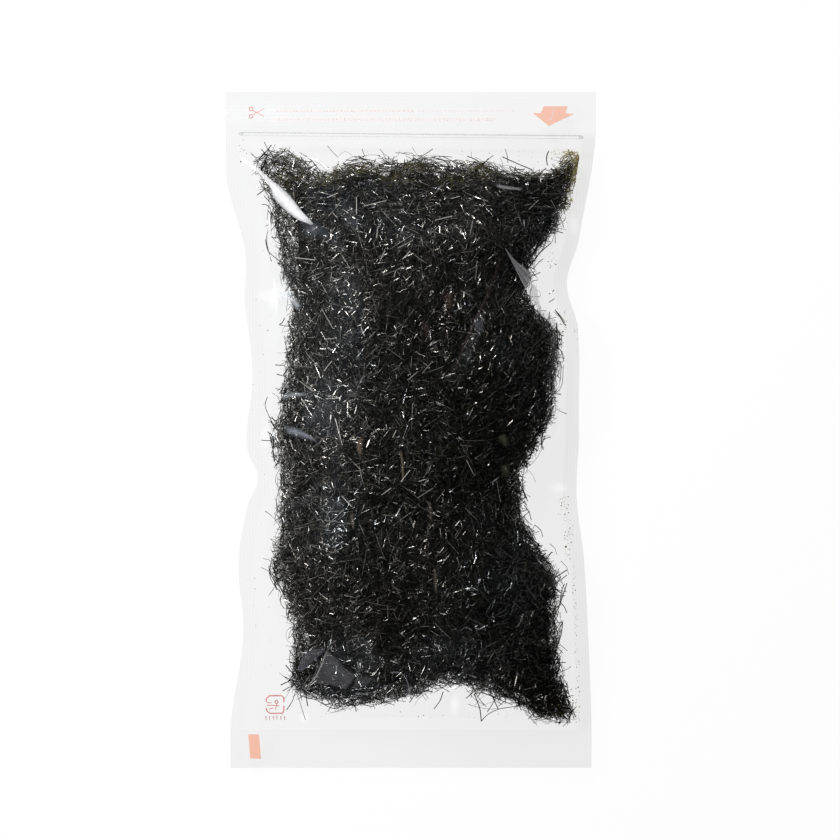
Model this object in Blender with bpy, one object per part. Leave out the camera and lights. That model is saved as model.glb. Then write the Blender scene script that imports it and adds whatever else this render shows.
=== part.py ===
"""Flat zip pouch of clear film, packed with shredded nori and lying on its back.

The pouch and its packing are one closed solid: the outside of the two films.
Metres, +Z up, +Y towards the zip, +X to the right seen from above. The middle
of the underside is flat at Z = 0.
"""

import math

import bmesh
import bpy

MM = 0.001

# Pouch, laid flat on its back
LENGTH = 256 * MM
TOP_END = LENGTH / 2
LOW_END = -LENGTH / 2
WIDTH_AT_TOP = 140.0 * MM
WIDTH_AT_FOOT = 136.6 * MM
SEAL_THICKNESS = 0.8 * MM
SIDE_SEAL = 5.5 * MM
FOOT_SEAL = 15.0 * MM
ZIP_Y = 111.2 * MM
ZIP_SLOPE = -0.010
ZIP_PITCH = 1.1 * MM
ZIP_RIDGE = 0.55 * MM
ZIP_REACH = 63 * MM
NOTCH_Y = 119.9 * MM
NOTCH_HALF = 1.0 * MM
NOTCH_DEPTH = 1.3 * MM

# Where the packing pulls the side edges in: (centre y, half length, depth)
TUCKS_LEFT = (
    (62 * MM, 37 * MM, 7.5 * MM),
    (24 * MM, 34 * MM, 9.5 * MM),
    (-18 * MM, 11 * MM, 3.0 * MM),
    (-18 * MM, 45 * MM, 8.5 * MM),
    (-74 * MM, 43 * MM, 5.5 * MM),
)
TUCKS_RIGHT = (
    (68 * MM, 49 * MM, 5.0 * MM),
    (55 * MM, 18 * MM, 3.5 * MM),
    (13 * MM, 87 * MM, 6.0 * MM),
    (-25 * MM, 25 * MM, 1.5 * MM),
    (-54 * MM, 68 * MM, 2.5 * MM),
)

# Outline of the packing: half width with its hollows (centre y, half length, depth)
PACK_TOP = 105 * MM
PACK_FOOT = -104 * MM
PACK_HALF = 55.5 * MM
PACK_TAPER = -0.015
HOLLOWS_LEFT = (
    (37 * MM, 69 * MM, 10.2 * MM),
    (-25 * MM, 29 * MM, 7.1 * MM),
    (-95 * MM, 78 * MM, 13.4 * MM),
)
HOLLOWS_RIGHT = (
    (116 * MM, 50 * MM, -8.0 * MM),
    (56 * MM, 23 * MM, 12.4 * MM),
    (-25 * MM, 40 * MM, 15.1 * MM),
    (-68 * MM, 12 * MM, 3.0 * MM),
)

# Heights of the side seam and of the crown at stations along the pouch: (y, z)
SEAM_HEIGHTS = (
    (-128 * MM, 3.6 * MM),
    (-112 * MM, 5.0 * MM),
    (-80 * MM, 8.5 * MM),
    (0 * MM, 9.5 * MM),
    (85 * MM, 9.0 * MM),
    (111 * MM, 7.0 * MM),
    (128 * MM, 4.4 * MM),
)
CROWN_HEIGHTS = (
    (-104 * MM, 22.0 * MM),
    (-62 * MM, 29.5 * MM),
    (-26 * MM, 28.0 * MM),
    (22 * MM, 30.0 * MM),
    (66 * MM, 28.5 * MM),
    (105 * MM, 24.0 * MM),
)
SIDE_RISE = 38 * MM
TOP_RISE = 44 * MM
FOOT_RISE = 34 * MM
RISE_START = 1.35
STAND_OFF = 5.0 * MM
MARGIN_GAP = 1.6 * MM
UNDER_INSET = 15 * MM

# Lumps of the packing under the film: (x, y, radius, height)
LUMPS = (
    (-30 * MM, 84 * MM, 26 * MM, 2.2 * MM),
    (22 * MM, 88 * MM, 24 * MM, -2.0 * MM),
    (-6 * MM, 48 * MM, 24 * MM, 1.8 * MM),
    (34 * MM, 24 * MM, 22 * MM, 2.4 * MM),
    (-28 * MM, 14 * MM, 22 * MM, -2.4 * MM),
    (4 * MM, -12 * MM, 24 * MM, 1.8 * MM),
    (-30 * MM, -40 * MM, 24 * MM, 2.2 * MM),
    (30 * MM, -66 * MM, 26 * MM, 2.4 * MM),
    (-4 * MM, -76 * MM, 20 * MM, -2.0 * MM),
    (-26 * MM, -88 * MM, 16 * MM, -3.0 * MM),
)

# Folds of the film, ridge or furrow: (x and y of both ends, half width, height)
FOLDS = (
    (-65 * MM, 103 * MM, -37 * MM, 77 * MM, 5.0 * MM, 2.0 * MM),
    (36 * MM, 70 * MM, 55 * MM, 38 * MM, 5.5 * MM, -3.2 * MM),
    (-45 * MM, -30 * MM, -28 * MM, -12 * MM, 5.0 * MM, -2.4 * MM),
    (34 * MM, 66 * MM, 12 * MM, 15 * MM, 5.0 * MM, -1.5 * MM),
    (-43 * MM, -84 * MM, -14 * MM, -99 * MM, 6.0 * MM, -2.2 * MM),
    (38 * MM, -14 * MM, 46 * MM, -34 * MM, 5.5 * MM, -2.0 * MM),
)

# Grid of the solid
BODY_ROWS = 62
INNER_COLUMNS = 35


def smooth(t):
    """Ease from 0 to 1 with level ends."""
    t = min(max(t, 0.0), 1.0)
    return t * t * (3 - 2 * t)


def bulge(t):
    """Rise from 0 to 1 that starts at a slope and ends level."""
    t = min(max(t, 0.0), 1.0)
    return t * (RISE_START + t * (3 - 2 * RISE_START + t * (RISE_START - 2)))


def dents(y, group):
    """Sum of the cosine dents of one side at y."""
    total = 0.0
    for centre, half, depth in group:
        u = (y - centre) / half
        if abs(u) < 1:
            total += depth * math.cos(math.pi / 2 * u) ** 2
    return total


def station(y, table):
    """Height at y, eased between the stations of a table."""
    if y <= table[0][0]:
        return table[0][1]
    for (y0, z0), (y1, z1) in zip(table, table[1:]):
        if y <= y1:
            return z0 + (z1 - z0) * smooth((y - y0) / (y1 - y0))
    return table[-1][1]


def edges(y):
    """Left and right edge of the film at y, with the tear notch on the left."""
    share = (TOP_END - y) / LENGTH
    half = (WIDTH_AT_TOP + (WIDTH_AT_FOOT - WIDTH_AT_TOP) * share) / 2
    notch = NOTCH_DEPTH * max(0.0, 1 - abs(y - NOTCH_Y) / NOTCH_HALF)
    return -half + dents(y, TUCKS_LEFT) + notch, half - dents(y, TUCKS_RIGHT)


def packing(y):
    """Left and right limit of the packing at y."""
    half = PACK_HALF + PACK_TAPER * y
    return dents(y, HOLLOWS_LEFT) - half, half - dents(y, HOLLOWS_RIGHT)


def zip_y(x):
    return ZIP_Y + ZIP_SLOPE * x


def relief(x, y):
    """Lumps and folds at a point, before they fade at the packing's rim."""
    height = 0.0
    for cx, cy, radius, rise in LUMPS:
        reach = ((x - cx) ** 2 + (y - cy) ** 2) / radius**2
        height += rise * math.exp(-2.2 * reach)
    for x0, y0, x1, y1, half, rise in FOLDS:
        dx = x1 - x0
        dy = y1 - y0
        span = dx * dx + dy * dy
        t = ((x - x0) * dx + (y - y0) * dy) / span
        off = abs((x - x0) * dy - (y - y0) * dx) / math.sqrt(span)
        if 0 < t < 1 and off < half:
            height += rise * math.sin(math.pi * t) * (1 - off / half)
    return height


def seam(x, y):
    """Height of the seam plane, with the sag that the edges' tucks lift."""
    left, right = edges(y)
    side = (x - left) / (right - left)
    lift = dents(y, TUCKS_LEFT) * (1 - side) + dents(y, TUCKS_RIGHT) * side
    return station(y, SEAM_HEIGHTS) + 0.22 * lift


def zip_relief(x, y):
    """The two rails of the zip, crushed flat near the side seals."""
    fade = smooth((ZIP_REACH - abs(x)) / (4 * MM))
    height = 0.0
    for side in (-0.5, 0.5):
        off = abs(y - zip_y(x) - side * ZIP_PITCH) / (0.5 * ZIP_PITCH)
        height += ZIP_RIDGE * max(0.0, 1 - off)
    return fade * height


def surfaces(x, y):
    """Heights of the lower and upper film at a point."""
    left, right = edges(y)
    middle = seam(x, y)
    low = middle - SEAL_THICKNESS / 2
    high = middle + SEAL_THICKNESS / 2
    inner = min(x - left - SIDE_SEAL, right - SIDE_SEAL - x)
    inner = min(inner, y - LOW_END - FOOT_SEAL)
    ridge = zip_relief(x, y)
    high += ridge
    low -= ridge
    open_top = zip_y(x) - 2.2 * ZIP_PITCH
    inner = min(inner, open_top - y)
    if inner <= 0:
        return low, high
    pack_left, pack_right = packing(y)
    side = min(x - pack_left, pack_right - x) + STAND_OFF
    top = PACK_TOP + STAND_OFF - y
    foot = y - PACK_FOOT + STAND_OFF
    fill = bulge(side / SIDE_RISE) * bulge(top / TOP_RISE) * bulge(foot / FOOT_RISE)
    crown = station(y, CROWN_HEIGHTS) - middle
    gap = MARGIN_GAP * smooth(inner / (8 * MM))
    ease = smooth(inner / (5 * MM))
    high += gap + ease * fill * (crown + relief(x, y))
    under = min(side - STAND_OFF, top - STAND_OFF, foot - STAND_OFF)
    reach = UNDER_INSET + STAND_OFF
    drop = 1 - min(max((under + STAND_OFF) / reach, 0.0), 1.0)
    drop = drop**1.7
    low = (low - gap) * (1 - ease) + ease * (low - gap) * drop
    return low, high


def rows():
    """Positions of the rows along the pouch, as offsets from the zip near it."""
    zip_offsets = [1.8, 1.0, 0.5, 0.0, -0.5, -1.0, -1.8]
    found = [("y", TOP_END), ("y", TOP_END - 4 * MM)]
    for offset in (1.0, 0.0, -1.0):
        found.append(("y", NOTCH_Y + offset * NOTCH_HALF))
    for offset in zip_offsets:
        found.append(("zip", offset * ZIP_PITCH))
    first = ZIP_Y - 3.4 * ZIP_PITCH
    last = LOW_END + FOOT_SEAL
    for index in range(BODY_ROWS):
        found.append(("y", first + (last - first) * index / (BODY_ROWS - 1)))
    for part in (0.33, 0.67, 1.0):
        found.append(("y", last + (LOW_END - last) * part))
    return found


def column(y, index, count):
    """x of one column: both seal edges, then even steps between the seals."""
    left, right = edges(y)
    if index == 0:
        return left
    if index == count - 1:
        return right
    inner_left = left + SIDE_SEAL
    inner_right = right - SIDE_SEAL
    return inner_left + (inner_right - inner_left) * (index - 1) / (count - 3)


def grid_points():
    """Lower and upper points of the solid, row by row."""
    lower = []
    upper = []
    count = INNER_COLUMNS + 2
    for kind, value in rows():
        low_row = []
        high_row = []
        for index in range(count):
            y = ZIP_Y + value if kind == "zip" else value
            x = column(y, index, count)
            if kind == "zip":
                y = zip_y(x) + value
            low, high = surfaces(x, y)
            low_row.append((x, y, low))
            high_row.append((x, y, high))
        lower.append(low_row)
        upper.append(high_row)
    return lower, upper


def build_bag():
    """The closed solid: upper film, lower film and the rim between them."""
    lower, upper = grid_points()
    mesh = bmesh.new()
    low = [[mesh.verts.new(p) for p in row] for row in lower]
    high = [[mesh.verts.new(p) for p in row] for row in upper]
    last_row = len(high) - 1
    last = len(high[0]) - 1
    for i in range(last_row):
        for j in range(last):
            if (i + j) % 2:
                mesh.faces.new((high[i][j], high[i + 1][j], high[i + 1][j + 1]))
                mesh.faces.new((high[i][j], high[i + 1][j + 1], high[i][j + 1]))
                mesh.faces.new((low[i][j], low[i][j + 1], low[i + 1][j + 1]))
                mesh.faces.new((low[i][j], low[i + 1][j + 1], low[i + 1][j]))
            else:
                mesh.faces.new((high[i][j], high[i + 1][j], high[i][j + 1]))
                mesh.faces.new((high[i + 1][j], high[i + 1][j + 1], high[i][j + 1]))
                mesh.faces.new((low[i][j], low[i][j + 1], low[i + 1][j]))
                mesh.faces.new((low[i + 1][j], low[i][j + 1], low[i + 1][j + 1]))
    for i in range(last_row):
        mesh.faces.new((low[i][0], low[i + 1][0], high[i + 1][0], high[i][0]))
        mesh.faces.new((high[i][last], high[i + 1][last], low[i + 1][last], low[i][last]))
    for j in range(last):
        mesh.faces.new((high[0][j], high[0][j + 1], low[0][j + 1], low[0][j]))
        mesh.faces.new(
            (low[last_row][j], low[last_row][j + 1], high[last_row][j + 1], high[last_row][j])
        )
    bmesh.ops.recalc_face_normals(mesh, faces=mesh.faces)
    data = bpy.data.meshes.new("bag")
    mesh.to_mesh(data)
    mesh.free()
    bag = bpy.data.objects.new("bag", data)
    bpy.context.scene.collection.objects.link(bag)
    return bag


def film_material():
    """Glossy near-black film: the dark packing as it shows through the pouch."""
    material = bpy.data.materials.new("film")
    material.use_nodes = True
    shader = material.node_tree.nodes["Principled BSDF"]
    shader.inputs["Base Color"].default_value = (0.035, 0.036, 0.034, 1)
    shader.inputs["Roughness"].default_value = 0.25
    shader.inputs["Metallic"].default_value = 0.0
    return material


for old in list(bpy.data.objects):
    bpy.data.objects.remove(old, do_unlink=True)

pouch = build_bag()
pouch.data.materials.append(film_material())
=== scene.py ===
"""Clear zip pouch of shredded nori, lying on its back under a camera that looks down.

The pouch is built as film, zip and print, and its packing as a dark core with
loose shreds over it. Metres, +Z up, +Y towards the zip, +X to the right.
"""

import logging
import math
from collections.abc import Callable
from dataclasses import dataclass
from enum import Enum

import bpy
import numpy as np
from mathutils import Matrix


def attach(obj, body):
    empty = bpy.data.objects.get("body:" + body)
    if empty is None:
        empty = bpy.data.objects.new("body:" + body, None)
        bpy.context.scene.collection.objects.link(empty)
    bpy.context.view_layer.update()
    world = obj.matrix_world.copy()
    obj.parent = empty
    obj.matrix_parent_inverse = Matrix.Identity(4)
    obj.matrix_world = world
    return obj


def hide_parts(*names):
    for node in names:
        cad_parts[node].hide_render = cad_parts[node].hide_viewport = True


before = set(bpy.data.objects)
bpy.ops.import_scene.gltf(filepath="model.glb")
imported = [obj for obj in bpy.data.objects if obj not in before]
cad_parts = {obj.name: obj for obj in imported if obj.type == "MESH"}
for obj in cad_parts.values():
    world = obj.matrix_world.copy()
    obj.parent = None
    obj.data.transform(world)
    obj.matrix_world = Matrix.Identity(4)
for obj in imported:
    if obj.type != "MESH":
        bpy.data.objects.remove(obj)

MM = 0.001
BODY = "root"
NODE = "bag"
LOG = logging.getLogger("nori_pouch")

# Where most of the soft noise lies, and how far the film's attribute scales its extra cover up.
NOISE_SPREAD = (0.3, 0.7)
EXTRA_SCALE = 5.0

Table = tuple[tuple[float, ...], ...]
Path = tuple[tuple[float, float], ...]
Range = tuple[float, float]
Source = bpy.types.NodeSocket | float | tuple[float, ...]


def smooth(t: np.ndarray | float) -> np.ndarray:
    """Ease from 0 to 1 with level ends."""
    t = np.clip(t, 0.0, 1.0)
    return t * t * (3 - 2 * t)


def bulge(t: np.ndarray | float, start: float = 1.35) -> np.ndarray:
    """Rise from 0 to 1 that starts at a slope and ends level."""
    t = np.clip(t, 0.0, 1.0)
    return t * (start + t * (3 - 2 * start + t * (start - 2)))


def oval(
    x: np.ndarray, y: np.ndarray, cx: float, cy: float, across: float, along: float, turn: float = 0.0
) -> np.ndarray:
    """Give how far points lie from an oval's middle, squared, with 1 on its rim.

    Args:
        x: Positions across, in metres.
        y: Positions along, in metres.
        cx: The oval's middle across, in millimetres.
        cy: The oval's middle along, in millimetres.
        across: Its half size across, in millimetres.
        along: Its half size along, in millimetres.
        turn: Its turn about its middle, in degrees.

    Returns:
        The squared distance at each position, in half sizes.
    """
    cos, sin = math.cos(math.radians(turn)), math.sin(math.radians(turn))
    dx, dy = x / MM - cx, y / MM - cy
    return ((dx * cos + dy * sin) / across) ** 2 + ((dy * cos - dx * sin) / along) ** 2


def waves(x: np.ndarray, y: np.ndarray, size: float, seed: int, stretch: float = 1.0) -> np.ndarray:
    """Smooth random field of about unit height.

    Args:
        x: Positions across, in metres.
        y: Positions along, in metres.
        size: Typical distance from crest to crest.
        seed: Number that fixes the random draw.
        stretch: How much longer the crests are along y than across.

    Returns:
        The field's value at each position.
    """
    rng = np.random.default_rng(seed)
    count = 18
    turn = rng.uniform(0, 2 * np.pi, count)
    rate = 2 * np.pi / size * rng.uniform(0.7, 1.35, count)
    phase = rng.uniform(0, 2 * np.pi, count)
    total = np.zeros(np.broadcast(x, y).shape)
    for a, k, p in zip(turn, rate, phase):
        total += np.cos(k * np.cos(a) * x + k * np.sin(a) * y / stretch + p)
    return total / math.sqrt(count / 2)


@dataclass(frozen=True)
class PouchForm:
    """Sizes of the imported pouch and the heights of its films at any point."""

    length: float = 256 * MM
    width_at_top: float = 140.0 * MM
    width_at_foot: float = 136.6 * MM
    seal_thickness: float = 0.24 * MM
    side_seal: float = 5.5 * MM
    foot_seal: float = 15.0 * MM
    zip_at: float = 111.2 * MM
    zip_slope: float = -0.010
    zip_pitch: float = 1.1 * MM
    zip_reach: float = 64 * MM
    notch_at: float = 119.9 * MM
    notch_half: float = 1.0 * MM
    notch_depth: float = 1.3 * MM
    pack_top: float = 105 * MM
    pack_foot: float = -104 * MM
    pack_half: float = 55.5 * MM
    pack_taper: float = -0.015
    side_rise: float = 38 * MM
    top_rise: float = 44 * MM
    foot_rise: float = 34 * MM
    stand_off: float = 5.0 * MM
    margin_gap: float = 1.6 * MM
    under_inset: float = 15 * MM
    # Dents of the film's edges and of the packing, in millimetres: place along, half width and depth.
    tucks_left: Table = ((62, 37, 7.5), (24, 34, 9.5), (-18, 11, 3.0), (-18, 45, 8.5), (-74, 43, 5.5))
    tucks_right: Table = ((68, 49, 5.0), (55, 18, 3.5), (13, 87, 6.0), (-25, 25, 1.5), (-54, 68, 2.5))
    hollows_left: Table = ((37, 69, 10.2), (-25, 29, 7.1), (-95, 78, 13.4))
    hollows_right: Table = ((116, 50, -8.0), (56, 23, 12.4), (-25, 40, 15.1), (-68, 12, 3.0))
    # Heights at places along the pouch, in millimetres.
    seam_heights: Table = (
        (-128, 3.6), (-112, 5.0), (-80, 8.5), (0, 9.5), (85, 9.0), (111, 7.0), (128, 4.4),
    )
    crown_heights: Table = ((-104, 22.0), (-62, 29.5), (-26, 28.0), (22, 30.0), (66, 28.5), (105, 24.0))
    # Lumps, in millimetres: middle, radius and rise.
    lumps: Table = (
        (-30, 84, 26, 2.2), (22, 88, 24, -2.0), (-6, 48, 24, 1.8), (34, 24, 22, 2.4), (-28, 14, 22, -2.4),
        (4, -12, 24, 1.8), (-30, -40, 24, 2.2), (30, -66, 26, 2.4), (-4, -76, 20, -2.0),
        (-26, -88, 16, -3.0),
    )
    # Long folds, in millimetres: start, end, half width and rise.
    folds: Table = (
        (-65, 103, -37, 77, 5.0, 2.0), (36, 70, 55, 38, 5.5, -3.2), (-45, -30, -28, -12, 5.0, -2.4),
        (34, 66, 12, 15, 5.0, -1.5), (-43, -84, -14, -99, 6.0, -2.2), (38, -14, 46, -34, 5.5, -2.0),
    )

    # The shreds' uneven outline, in millimetres: across at each y, then along at each x.
    rim_left: Path = (
        (-100, -43), (-95, -45), (-87, -44), (-79, -43.5), (-68, -45.5), (-58, -49), (-52, -51.5),
        (-46, -51.5), (-37, -49), (-31.5, -50.5), (-26, -48.5), (-21, -48), (-10, -49.5), (-5, -51),
        (1, -51), (6, -49), (16, -47.5), (21, -46.5), (37, -45.5), (50, -44.5), (57.5, -47), (63, -49),
        (68, -49.5), (79, -51.5), (84, -51.5), (95, -55.5), (100, -57), (105.5, -56),
    )
    rim_right: Path = (
        (-110.5, 61), (-106, 60), (-95, 56.5), (-89, 55.5), (-74, 54.5), (-68, 54), (-63, 55),
        (-57.5, 55), (-52.5, 53), (-42, 46.5), (-36.5, 43.5), (-31, 41), (-21, 41), (-15.5, 41.5),
        (-5, 47.5), (0, 49.5), (5.5, 53), (21, 55), (37, 55.5), (42, 50), (47, 45.5), (52.5, 43.5),
        (68, 47), (71, 50.5), (74, 54), (89.5, 60), (95, 61.5), (105.5, 64),
    )
    rim_top: Path = (
        (-57.5, 101), (-53.5, 102.5), (-49.5, 105), (-45, 104.5), (-41, 101), (-33.5, 97.5), (-31, 96.5),
        (-28.5, 99.5), (-24, 99.5), (-20, 100.5), (-12, 101), (-8, 102), (-4, 100.5), (0.5, 102),
        (8.5, 102), (13, 100.5), (21, 100), (25, 101), (33.5, 98), (37.5, 97), (50, 96.5), (54, 98),
        (58.5, 101.5), (62.5, 103.5),
    )
    rim_foot: Path = (
        (-47, -92.5), (-43, -98), (-39, -100.5), (-34.5, -101), (-26.5, -104.5), (-22, -103),
        (-14, -103), (-5.5, -101), (2.5, -100), (7, -97), (11, -95.5), (19, -95.5), (23.5, -97.5),
        (31.5, -99.5), (40, -103), (48.5, -108.5), (53, -109.5), (57, -109.5), (61, -108),
    )

    @property
    def top_end(self) -> float:
        """Y of the header's end."""
        return self.length / 2

    @property
    def low_end(self) -> float:
        """Y of the foot seal's end."""
        return -self.length / 2

    def dents(self, y: np.ndarray, group: Table) -> np.ndarray:
        """Sum of the cosine dents of one side at y.

        Args:
            y: Positions along, in metres.
            group: Dents, in millimetres: place along, half width and depth.

        Returns:
            The dents' depth at each place.
        """
        total = np.zeros_like(np.asarray(y, float))
        for centre, half, depth in np.array(group) * MM:
            u = np.clip((y - centre) / half, -1, 1)
            total += depth * np.cos(np.pi / 2 * u) ** 2
        return total

    def station(self, y: np.ndarray, table: Table) -> np.ndarray:
        """Height at y, eased between the stations of a table.

        Args:
            y: Positions along, in metres.
            table: Stations, in millimetres: place along and height.

        Returns:
            The height at each place.
        """
        y = np.asarray(y, float)
        stops = np.array(table) * MM
        found = np.full_like(y, stops[0][1])
        for (y0, z0), (y1, z1) in zip(stops, stops[1:]):
            found = np.where(y > y0, z0 + (z1 - z0) * smooth((y - y0) / (y1 - y0)), found)
        return found

    def edges(self, y: np.ndarray) -> tuple[np.ndarray, np.ndarray]:
        """Left and right edge of the film at y, with the tear notch on the left.

        Args:
            y: Positions along, in metres.

        Returns:
            The left and the right edge's x at each place.
        """
        share = (self.top_end - y) / self.length
        half = (self.width_at_top + (self.width_at_foot - self.width_at_top) * share) / 2
        notch = self.notch_depth * np.maximum(0.0, 1 - np.abs(y - self.notch_at) / self.notch_half)
        left = -half + self.dents(y, self.tucks_left) + notch
        return left, half - self.dents(y, self.tucks_right)

    def packing(self, y: np.ndarray) -> tuple[np.ndarray, np.ndarray]:
        """Left and right limit of the packing at y.

        Args:
            y: Positions along, in metres.

        Returns:
            The left and the right limit's x at each place.
        """
        half = self.pack_half + self.pack_taper * y
        left = self.dents(y, self.hollows_left) - half
        return left, half - self.dents(y, self.hollows_right)

    def zip_y(self, x: np.ndarray) -> np.ndarray:
        """Y of the zip's middle at x."""
        return self.zip_at + self.zip_slope * x

    def rim(self, at: np.ndarray, path: Path) -> np.ndarray:
        """Place of one side of the shreds' outline."""
        places, values = np.array(path).T * MM
        return np.interp(at, places, values)

    def inside(self, x: np.ndarray, y: np.ndarray) -> np.ndarray:
        """Rough distance from the shreds' uneven outline, positive inside.

        Args:
            x: Positions across, in metres.
            y: Positions along, in metres.

        Returns:
            The distance at each position.
        """
        side = np.minimum(x - self.rim(y, self.rim_left), self.rim(y, self.rim_right) - x)
        ends = np.minimum(self.rim(x, self.rim_top) - y, y - self.rim(x, self.rim_foot))
        return np.minimum(side, ends) + 0.4 * MM * waves(x, y, 6 * MM, 6)

    def thin(self, x: np.ndarray, y: np.ndarray) -> np.ndarray:
        """How far in from the outline the shreds lie thinly.

        Args:
            x: Positions across, in metres.
            y: Positions along, in metres.

        Returns:
            The width of the thin rim near each position.
        """
        flank = smooth((-30 * MM - x) / (10 * MM)) * smooth((y - 58 * MM) / (10 * MM))
        crest = smooth((y - 92 * MM) / (6 * MM)) * smooth((48 * MM - x) / (6 * MM))
        right = smooth((x - 30 * MM) / (10 * MM))
        return (3.0 + 3.0 * flank + 2.0 * crest - 1.4 * right) * MM

    def relief(self, x: np.ndarray, y: np.ndarray) -> np.ndarray:
        """Lumps and folds at a point, before they fade at the packing's rim.

        Args:
            x: Positions across, in metres.
            y: Positions along, in metres.

        Returns:
            The height to add at each position.
        """
        height = np.zeros_like(np.asarray(x, float))
        for cx, cy, radius, rise in np.array(self.lumps) * MM:
            reach = ((x - cx) ** 2 + (y - cy) ** 2) / radius**2
            height = height + rise * np.exp(-2.2 * reach)
        for x0, y0, x1, y1, half, rise in np.array(self.folds) * MM:
            dx, dy = x1 - x0, y1 - y0
            span = dx * dx + dy * dy
            t = ((x - x0) * dx + (y - y0) * dy) / span
            off = np.abs((x - x0) * dy - (y - y0) * dx) / math.sqrt(span)
            on = (t > 0) & (t < 1) & (off < half)
            height = height + np.where(on, rise * np.sin(np.pi * np.clip(t, 0, 1)) * (1 - off / half), 0)
        return height

    def seam(self, x: np.ndarray, y: np.ndarray) -> np.ndarray:
        """Height of the seam plane, which the edges' tucks lift.

        Args:
            x: Positions across, in metres.
            y: Positions along, in metres.

        Returns:
            The seam plane's height at each position.
        """
        left, right = self.edges(y)
        side = (x - left) / (right - left)
        lift = self.dents(y, self.tucks_left) * (1 - side) + self.dents(y, self.tucks_right) * side
        return self.station(y, self.seam_heights) + 0.22 * lift

    def inner(self, x: np.ndarray, y: np.ndarray, under_zip: float) -> np.ndarray:
        """Distance in from the nearest seal or the zip.

        Args:
            x: Positions across, in metres.
            y: Positions along, in metres.
            under_zip: How far under the zip's middle the inside starts.

        Returns:
            The distance at each position, positive inside.
        """
        left, right = self.edges(y)
        inner = np.minimum(x - left - self.side_seal, right - self.side_seal - x)
        inner = np.minimum(inner, y - self.low_end - self.foot_seal)
        return np.minimum(inner, self.zip_y(x) - under_zip - y)

    def surfaces(self, x: np.ndarray, y: np.ndarray) -> tuple[np.ndarray, np.ndarray]:
        """Heights of the back film and the front film.

        Args:
            x: Positions across.
            y: Positions along.

        Returns:
            The back film's and the front film's height at each position.
        """
        middle = self.seam(x, y)
        low = middle - self.seal_thickness / 2
        high = middle + self.seal_thickness / 2
        inner = self.inner(x, y, 2.2 * self.zip_pitch)
        pack_left, pack_right = self.packing(y)
        side = np.minimum(x - pack_left, pack_right - x) + self.stand_off
        top = self.pack_top + self.stand_off - y
        foot = y - self.pack_foot + self.stand_off
        # The front film bulges over the packing, and the back film is flat where the pouch lies on it.
        fill = bulge(side / self.side_rise) * bulge(top / self.top_rise)
        fill = fill * bulge(foot / self.foot_rise)
        crown = self.station(y, self.crown_heights) - middle
        gap = self.margin_gap * smooth(inner / (8 * MM))
        ease = smooth(inner / (5 * MM))
        under = np.minimum(np.minimum(side, top), foot)
        drop = (1 - np.clip(under / (self.under_inset + self.stand_off), 0, 1)) ** 1.7
        top_film = high + gap + ease * fill * (crown + self.relief(x, y))
        back_film = (low - gap) * (1 - ease) + ease * (low - gap) * drop
        return np.where(inner > 0, back_film, low), np.where(inner > 0, top_film, high)


@dataclass(frozen=True)
class Fold:
    """A fold of film between two edge lines, whose milky colour paints its highlights and reflections."""

    left: Path
    right: Path
    colour: tuple[float, float, float]
    cover: float
    soft: float
    streak: float
    fade: float = 0.0
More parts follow.
